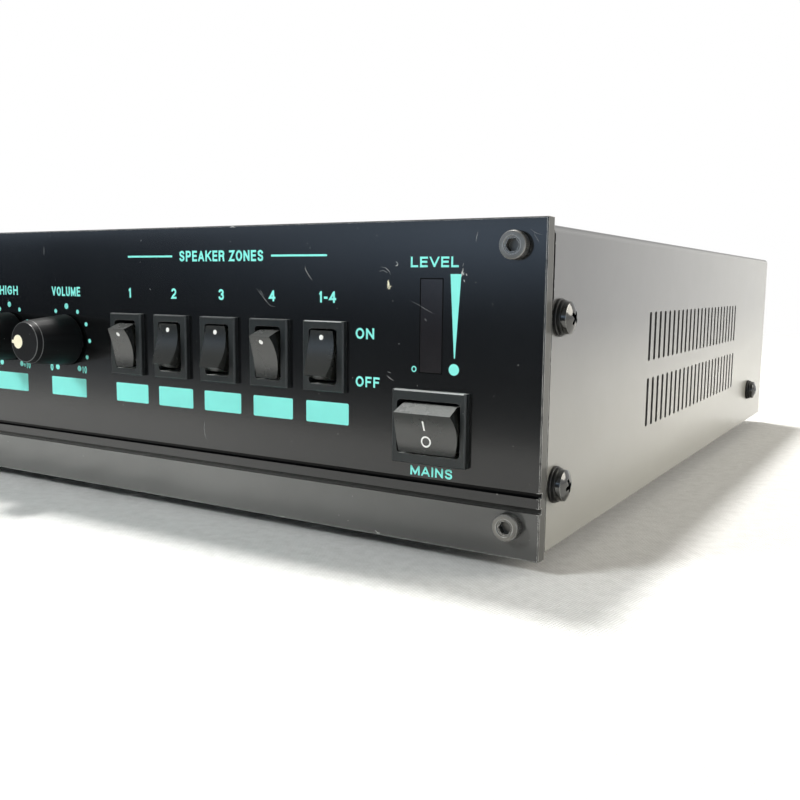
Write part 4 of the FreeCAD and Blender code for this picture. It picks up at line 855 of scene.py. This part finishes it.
dotSpots = []
for place in range(8):
    x = dials["first"] + place * dials["step"]
    for tick in range(dials["ticks"]):
        angle = math.radians(-150 + 30 * tick)
        radius = dials["topRing"] if tick == 5 else dials["ring"]
        size = dials["bigDot"] if tick in (0, 5, 10) else dials["dot"]
        dotSpots.append((onDial(place, radius, angle, proudPrint), outward["front"], size))
    labelled(dials, place, x)
    for text, left, right in dials["centred" if place in (5, 6) else "plain"]:
        printed.append(words(text, x + left, x + right, *dials["scaleHeight"]))
for place in range(5):
    labelled(zones, place, zones["labelFirst"] + place * zones["labelStep"])
printed.append(words(*panelWords[0]))
for left, right in zoneLines["ends"]:
    printed.append(flatShape(roundedBox((left + right) / 2, zoneLines["level"], right - left,
                                        zoneLines["thick"], zoneLines["corner"])))
printed += [words(*row) for row in panelWords[1:]]
printed += [flatShape(window["needle"]), flatShape(roundOf(*window["spot"]))]
edges = [roundedBox(*window["middle"], window["wide"] + more, window["tall"] + more, window["corner"])
         for more in (window["outside"], -window["inside"])]
windowGap = joined("windowGap", [flatShape(*edges, proud=window["proud"])], finishes["gap"])
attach(windowGap, "case")
panelPrint = joined("panelPrint", printed, finishes["tealPrint"])
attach(panelPrint, "case")
disc = meshOf("disc", [(x, y, 0) for x, y in roundOf(0, 0, mm, 20)], [tuple(range(20))])
dialDots = setOnPoints("dialDots", disc, dotSpots, finishes["tealPrint"])
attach(dialDots, "case")
print("panel print:", len(panelPrint.data.polygons), "faces,", len(dotSpots), "dial dots")


# marks on rockers and knobs

rockerShape = {
    "zone": {"pivot": -0.4, "half": 6.5, "fore": 4.5, "radius": 22.0, "level": 50.15, "dot": (0, 4.6, 0.72)},
    "mains": {"pivot": -0.4, "half": 5.72, "fore": 4.9, "radius": 16.0, "level": 32.5, "middle": 178.05,
              "bar": (-0.2, 2.1, 0.5, 3.0, 0.12), "rings": ((0.0, -2.5, 1.55), (0.0, -2.5, 1.1))},
}
rockerTilt = math.radians(15)


def onRocker(kind, middle, tilt, x, up):
    # a spot on a rocker's hollow face, tilt positive where its top end stands out
    shape = rockerShape[kind]
    r, h = shape["radius"], shape["half"]
    out = shape["fore"] - (r - math.sqrt(r * r - h * h)) + (r - math.sqrt(r * r - up * up)) + proudPrint
    proud = shape["pivot"] + out * math.cos(tilt) + up * math.sin(tilt)
    level = shape["level"] + up * math.cos(tilt) - out * math.sin(tilt)
    return onPanel(middle + x, level, proud)


def markOnRocker(name, kind, middle, tilt, outlines, body):
    mark = filled(outlines, lambda x, up: onRocker(kind, middle, tilt, x, up))
    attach(newObject(name, mark, finishes["whitePrint"]), body)


for place, (zone, standsOut) in enumerate((("1", 1), ("2", -1), ("3", -1), ("4", 1), ("all", -1))):
    markOnRocker("dot_zone_" + zone, "zone", zones["first"] + place * zones["step"], rockerTilt * standsOut,
                 [roundOf(*rockerShape["zone"]["dot"])], bodyOf["rocker_zone_" + zone])
mains = rockerShape["mains"]
mainsMarks = [roundedBox(*mains["bar"]), *[roundOf(*line) for line in mains["rings"]]]
markOnRocker("mark_mains", "mains", mains["middle"], rockerTilt, mainsMarks, bodyOf["rocker_mains"])

knobFace = {"reach": 17.45, "face": 6.65, "shoulder": 15.6, "rim": 7.3, "spot": 2.3, "spotAway": 3.35,
            "tail": 0.55, "spotSteps": 40, "edgeSteps": 56,
            "rimWearAndHighlight": ((0.06, -0.14), (0.05, 0.02), (-0.01, 0.16)),
            "faceWearAndHighlight": ((0.08, -0.14), (0.02, 0.03), (-0.14, 0.03)),
            "dials": {"input_1": -150, "input_2": -150, "input_3": -150, "input_4": -150, "input_5": -150,
                      "low": 0, "high": 0, "volume": -90}}


def pointerMesh(place, dial):
    # a round spot with a tail that runs out over the knob's chamfer
    spot, tail, steps = knobFace["spot"], knobFace["tail"], knobFace["spotSteps"]
    reach = knobFace["reach"] + proudPrint
    opening = math.asin(tail / spot)
    flat = []
    for k in range(steps + 1):
        angle = opening + (math.tau - 2 * opening) * k / steps
        flat.append((spot * math.sin(angle), knobFace["spotAway"] + spot * math.cos(angle), reach))
    for radius, lift, proud in ((knobFace["face"], 0, reach),
                                (knobFace["rim"], proudPrint, knobFace["shoulder"])):
        edge = math.sqrt(radius ** 2 - tail ** 2) + lift
        flat += [(-tail, edge, proud), (tail, edge, proud)]
    x, turn = dials["first"] + place * dials["step"], math.radians(dial)
    points = [onPanel(x + a * math.cos(turn) + b * math.sin(turn),
                      dials["level"] - a * math.sin(turn) + b * math.cos(turn), proud)
              for a, b, proud in flat]
    last = steps + 1
    faces = [tuple(range(last + 2)), (last, last + 2, last + 3, last + 1)]
    return reworked("pointer", [meshOf("pointer", points, faces)], turnOutward, turnToViewer, intoTriangles)


def edgeRings(place):
    # pale rings on the edges of a knob's chamfer: rubbed edges, and painted highlights
    steps = knobFace["edgeSteps"]
    points, faces = [], []
    for radius, at, section in ((knobFace["rim"], knobFace["shoulder"], knobFace["rimWearAndHighlight"]),
                                (knobFace["face"], knobFace["reach"], knobFace["faceWearAndHighlight"])):
        faces += bands(len(section), steps, len(points))
        for out, lift in section:
            for step in range(steps):
                points.append(onDial(place, radius + out, math.tau * step / steps, at + lift))
    mesh = meshOf("edgeRings", points, faces)
    smooth(mesh, 60)
    return mesh


for place, (control, dial) in enumerate(knobFace["dials"].items()):
    pointer = newObject("pointer_" + control, pointerMesh(place, dial), finishes["creamInlay"])
    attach(pointer, bodyOf["knob_" + control])
for place, control in enumerate(knobFace["dials"]):
    edge = newObject("edge_" + control, edgeRings(place), finishes["paintedEdgeHighlight"])
    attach(edge, bodyOf["knob_" + control])

bezels = {"zone": (14.4, 20.3), "mains": (22.7, 20.1), "ends": 0.7,
          "line": ((-1, 0.02, -0.26), (1, 0.02, -0.26), (1, -0.24, 0.02), (-1, -0.24, 0.02))}


def bezelHighlight(kind, x, proud):
    # a pale strip along a switch bezel's top edge: a painted highlight
    wide, tall = bezels[kind]
    half, top = wide / 2 - bezels["ends"], rockerShape[kind]["level"] + tall / 2
    corners = [onPanel(x + side * half, top + up, proud + out) for side, up, out in bezels["line"]]
    return meshOf("bezelHighlight", corners, [(0, 3, 2, 1)])


zoneFront = (panelLow.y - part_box("zone_switch_bodies")[0].y) / mm
mainsLow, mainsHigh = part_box("mains_switch_body")
mainsFront = (panelLow.y - mainsLow.y) / mm
lines = [bezelHighlight("zone", zones["first"] + place * zones["step"], zoneFront) for place in range(5)]
lines.append(bezelHighlight("mains", (mainsLow.x + mainsHigh.x) / 2 / mm, mainsFront))
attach(joined("bezelLines", lines[:4], finishes["paintedEdgeHighlight"]), "case")
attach(joined("bezelBrightLines", lines[4:], finishes["brightPaintedHighlight"]), "case")
print("marks on", len(rockerShape), "kinds of rocker and", len(knobFace["dials"]), "knobs")


# wear that shows as bare metal or pale scuffs on the panel

marks = [
    # finish, width, and the line it follows from the panel's middle and foot, in millimetres
    ("scuff", 0.14, [(117.4, 69.3), (119.3, 67.4), (120.9, 65.8), (122.6, 64.2), (124.8, 63.9)]),
    ("scuff", 0.1, [(118.6, 69.0), (119.6, 67.9), (120.4, 67.0)]),
    ("rawMetal", 0.12, [(135.5, 76.2), (135.9, 74.6), (137.2, 72.9), (138.1, 71.8)]),
    ("rawMetal", 0.2, [(166.3, 77.1), (166.9, 76.5), (166.8, 76.0), (166.0, 75.8)]),
    ("scuff", 0.14, [(161.4, 75.6), (163.1, 75.3), (164.2, 74.4), (164.7, 73.4)]),
    ("scuff", 0.1, [(160.9, 74.4), (162.4, 74.6), (163.8, 73.9)]),
    ("creamInlay", 0.55, [(164.0, 72.2), (163.9, 71.3), (164.2, 70.3), (164.6, 69.6)]),
    ("creamInlay", 0.4, [(163.6, 70.9), (164.0, 70.1), (164.1, 69.5)]),
    ("creamInlay", 0.75, [(163.6, 70.2), (164.3, 69.9), (165.0, 70.3)]),
    ("rawMetal", 0.4, [(186.8, 75.3), (186.6, 74.4), (186.4, 73.4), (186.1, 72.6)]),
    ("rawMetal", 0.3, [(187.0, 74.2), (186.9, 73.5)]),
    ("rawMetal", 0.34, [(187.0, 72.3), (187.3, 71.7)]),
    ("rawMetal", 0.3, [(187.6, 73.9), (187.9, 73.3)]),
    ("scuff", 0.12, [(186.9, 76.6), (186.6, 75.7)]),
    ("scuff", 0.16, [(95.8, 27.0), (95.4, 25.0), (95.6, 22.9), (96.5, 21.0)]),
    ("scuff", 0.14, [(190.8, 84.5), (190.5, 83.4), (190.3, 82.0)]),
    ("scuff", 0.08, [(206.2, 84.3), (206.5, 83.3), (207.3, 82.2), (207.6, 81.6)]),
    ("scuff", 0.07, [(205.2, 84.9), (206.8, 83.9), (208.4, 83.4)]),
    ("scuff", 0.16, [(20.9, 82.6), (20.8, 81.2), (20.7, 79.6)]),
    ("scuff", 0.12, [(68.9, 83.8), (69.5, 84.3)]),
    ("scuff", 0.18, [(72.5, 68.6), (73.1, 68.2)]),
    ("scuff", 0.2, [(163.6, 45.9), (164.8, 45.1), (166.1, 44.5)]),
    ("scuff", 0.12, [(163.9, 46.9), (165.2, 46.6)]),
    ("scuff", 0.1, [(170.9, 66.6), (173.4, 65.6), (176.1, 64.2), (178.7, 63.1)]),
    ("scuff", 0.22, [(175.6, 61.9), (176.1, 61.2)]),
    ("rawMetal", 0.3, [(125.6, 0.5), (126.6, 0.28), (128.1, 0.35)]),
    ("rawMetal", 0.34, [(160.2, 1.2), (161.0, 0.7), (162.0, 0.4)]),
    ("rawMetal", 0.28, [(107.2, 87.5), (108.1, 87.62), (109.4, 87.5)]),
]


sliver = {"pieces": 5, "wide": (0.45, 1.25), "sway": 0.25, "proud": 0.02, "firstSeed": 20}


def scratch(line, width, seed):
    # a thin sliver of uneven width with pointed ends, just proud of the paint
    chance = random.Random(seed)
    path = []
    for (ax, az), (bx, bz) in zip(line, line[1:]):
        for step in range(sliver["pieces"]):
            share = step / sliver["pieces"]
            path.append((ax + (bx - ax) * share, az + (bz - az) * share))
    path.append(line[-1])
    points, faces = [], []
    for place, (x, z) in enumerate(path):
        before, after = path[max(0, place - 1)], path[min(len(path) - 1, place + 1)]
        dx, dz = after[0] - before[0], after[1] - before[1]
        length = math.hypot(dx, dz)
        taper = math.sin(math.pi * (place + 0.35) / (len(path) - 0.3))
        half = width / 2 * taper * chance.uniform(*sliver["wide"])
        sway = width * chance.uniform(-sliver["sway"], sliver["sway"])
        for side in (half, -half):
            points.append(onPanel(x - dz / length * (side + sway), z + dx / length * (side + sway),
                                  sliver["proud"]))
    for a in range(0, 2 * len(path) - 2, 2):
        faces.append((a, a + 1, a + 3, a + 2))
    return reworked("scratch", [meshOf("scratch", points, faces)], turnToViewer)


for kind in ("scuff", "rawMetal", "creamInlay"):
    lines = [scratch(line, width, sliver["firstSeed"] + place)
             for place, (made, width, line) in enumerate(marks) if made == kind]
    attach(joined("wear_" + kind, lines, finishes[kind]), "case")
print("wear marks:", len(marks))


# floor, light and camera

studio = {
    "floor": {"reach": 3.0, "low": -0.0002, "fade": (0.55, 1.3), "weave": 420, "tilt": 0.2, "uneven": 260,
              "dark": (0.72, 0.72, 0.705), "pale": (0.98, 0.98, 0.97), "rough": 0.9, "shine": 0.1,
              "relief": 0.5},
    "key": {"spot": (-0.4, 0.44, 2.1), "aim": (0, 0, 0), "size": 0.3, "power": 46,
            "colour": (1.0, 0.985, 0.96)},
    "overhead": {"spot": (-0.45, -0.6, 1.5), "aim": (0.05, -0.15, 0), "size": 0.3, "power": 2,
                 "colour": (0.97, 0.99, 1.0)},
    "front": {"spot": (-0.95, -1.45, 1.05), "aim": (0.0, -0.2, 0.05), "size": 0.5, "power": 25,
              "colour": (0.97, 1.0, 1.0), "mirrored": False},
    "right": {"spot": (1.7, 0.9, 0.8), "aim": (0.2, 0.1, 0), "size": 1.2, "power": 20,
              "colour": (1.0, 0.95, 0.86)},
    # foot, head and plain are the card's light at the two ends of grade, footTall how high the foot's rises
    "card": {"ends": (-1.6, 0.2), "front": -0.325, "top": 0.104, "grade": (-0.15, 0.115),
             "footTall": (0.038, 0.025), "foot": (0.95, 0.32), "head": (0.1, 1.35), "plain": (0.06, 0.15),
             "headSpan": (0.056, 0.1), "footTint": (1.0, 1.0, 0.95), "headTint": (0.78, 1.0, 1.3),
             "tintTo": 0.075},
    "sky": {"back": (1.0, 1.0, 1.0), "front": (0.74, 0.92, 1.15), "high": (0.3, 0.31, 0.31),
            "fillBack": (0.6, 0.58, 0.54), "fillFront": (0.045, 0.05, 0.05), "turnAt": 0.3,
            "rise": (0.06, 0.4)},
}


def addFloor():
    # a woven cloth
    facts = studio["floor"]
    look = surfaceLook("floorLook")
    threads = []
    for turn in (facts["tilt"], facts["tilt"] + math.pi / 2):
        values = {"Scale": facts["weave"], "Distortion": 1.2, "Vector": look.place(turn=(0, 0, turn))}
        threads.append(look.make("ShaderNodeTexWave", "Fac", values))
    weave = look.maths("MULTIPLY", look.maths("ADD", *threads), look.noise(facts["uneven"], 4))
    look.give({"Base Color": look.mix(look.span(weave, 0.2, 0.9), facts["dark"], facts["pale"]),
               "Roughness": facts["rough"], "Specular IOR Level": facts["shine"]})
    look.bump(weave, facts["relief"])
    # towards the horizon the floor fades into the room
    away = look.make("ShaderNodeVectorMath", "Value", {0: look.place()}, operation="LENGTH")
    path, mirrored = look.inMirrors()
    fade = look.maths("MULTIPLY", look.span(away, *facts["fade"]),
                      look.maths("MAXIMUM", path["Is Camera Ray"], mirrored))
    clear = look.add("ShaderNodeBsdfTransparent").outputs[0]
    look.feed(look.tree.nodes["Material Output"].inputs["Surface"],
              look.choose(fade, look.shader.outputs[0], clear))
    reach, low = facts["reach"], facts["low"]
    corners = [(-reach, -reach, low), (reach, -reach, low), (reach, reach, low), (-reach, reach, low)]
    return newObject("floor", meshOf("floor", corners, [(0, 1, 2, 3)]), look.material)


def addPaintedReflection():
    # a glowing card that paints the glossy panel's reflection: as pale as the table at its foot, dark across
    # the middle and lit again towards its head, less so on the left; nothing else sees it
    facts = studio["card"]
    look = surfaceLook("paintedReflectionLook")
    height = look.axis("Z")
    share = look.span(look.axis("X"), *facts["grade"])

    def graded(name, source=share):
        return look.span(source, 0, 1, *facts[name])

    tall = graded("footTall")
    foot = look.maths("POWER", look.maths("DIVIDE", look.maths("SUBTRACT", tall, height), tall), 1.3)
    foot = look.maths("MULTIPLY", look.span(foot, 0, 1), graded("foot"))
    head = look.maths("MULTIPLY", look.maths("POWER", look.span(height, *facts["headSpan"]), 1.5),
                      graded("head", look.maths("POWER", share, 2.0)))
    level = look.maths("MULTIPLY", look.maths("ADD", foot, head, graded("plain")),
                       look.patches(patterns["card"], 0.92, 1.08))
    tint = look.mix(look.span(height, 0.0, facts["tintTo"]), facts["footTint"], facts["headTint"])
    look.give({"Base Color": (0, 0, 0), "Specular IOR Level": 0, "Emission Color": tint,
               "Emission Strength": level})
    (left, right), front, top = facts["ends"], facts["front"], facts["top"]
    corners = [(left, front, 0), (right, front, 0), (right, front, top), (left, front, top)]
    card = newObject("card", meshOf("card", corners, [(0, 1, 2, 3)]), look.material)
    card.visible_camera = card.visible_diffuse = card.visible_shadow = False
    return card


def addLamp(name):
    facts = studio[name]
    data = bpy.data.lights.new(name, "AREA")
    data.energy = facts["power"]
    data.shape = "DISK"
    data.size = facts["size"]
    data.color = facts["colour"]
    lamp = newObject(name, data)
    lamp.location = facts["spot"]
    lamp.visible_glossy = facts.get("mirrored", True)
    lamp.rotation_euler = (Vector(facts["aim"]) - lamp.location).to_track_quat("-Z", "Y").to_euler()


def lightRoom():
    # white to the camera; in mirrors white behind the object and bluish before it; dimmer for what it lights
    sky = studio["sky"]
    world = bpy.data.worlds.new("room")
    world.use_nodes = True
    bpy.context.scene.world = world
    room = nodeWork(world.node_tree)
    where = room.add("ShaderNodeTexCoord").outputs["Generated"]
    across = room.span(room.part(where, "Y"), -sky["turnAt"], sky["turnAt"],
                       interpolation_type="SMOOTHSTEP")
    ahead = room.mix(room.span(room.part(where, "Z"), *sky["rise"]), sky["front"], sky["high"])
    colours = (room.mix(across, sky["fillFront"], sky["fillBack"]), room.mix(across, ahead, sky["back"]),
               (1.0, 1.0, 1.0))
    fill, mirror, white = [room.make("ShaderNodeBackground", 0, {"Color": colour}) for colour in colours]
    path, mirrored = room.inMirrors()
    whole = room.choose(path["Is Camera Ray"], room.choose(mirrored, fill, mirror), white)
    room.feed(room.tree.nodes["World Output"].inputs["Surface"], whole)


addFloor()
addPaintedReflection()
for name in ("key", "overhead", "front", "right"):
    addLamp(name)
lightRoom()

# the camera, measured from the panel's lower right corner as the viewer sees it
shot = {"fromCorner": (84.114, -210.384, 71.047), "yaw": 30.925, "pitch": -7.375, "roll": 0.649,
        "lens": 40.38}


def addCamera():
    data = bpy.data.cameras.new("camera")
    camera = newObject("camera", data)
    data.lens = shot["lens"]
    data.sensor_width = 36
    data.clip_start = 0.01
    data.clip_end = 50
    yaw, pitch, roll = (math.radians(shot[key]) for key in ("yaw", "pitch", "roll"))
    ahead = Vector((-math.sin(yaw) * math.cos(pitch), math.cos(yaw) * math.cos(pitch), math.sin(pitch)))
    right = ahead.cross(Vector((0, 0, 1))).normalized()
    up = right.cross(ahead)
    rightRolled = right * math.cos(roll) + up * math.sin(roll)
    upRolled = up * math.cos(roll) - right * math.sin(roll)
    turn = Matrix((rightRolled, upRolled, -ahead)).transposed().to_4x4()
    corner = Vector((panelHigh.x, panelLow.y, panelLow.z))
    camera.matrix_world = Matrix.Translation(corner + Vector(shot["fromCorner"]) * mm) @ turn
    bpy.context.scene.camera = camera


addCamera()
bpy.context.scene.view_settings.view_transform = "Standard"
print("scene ready")
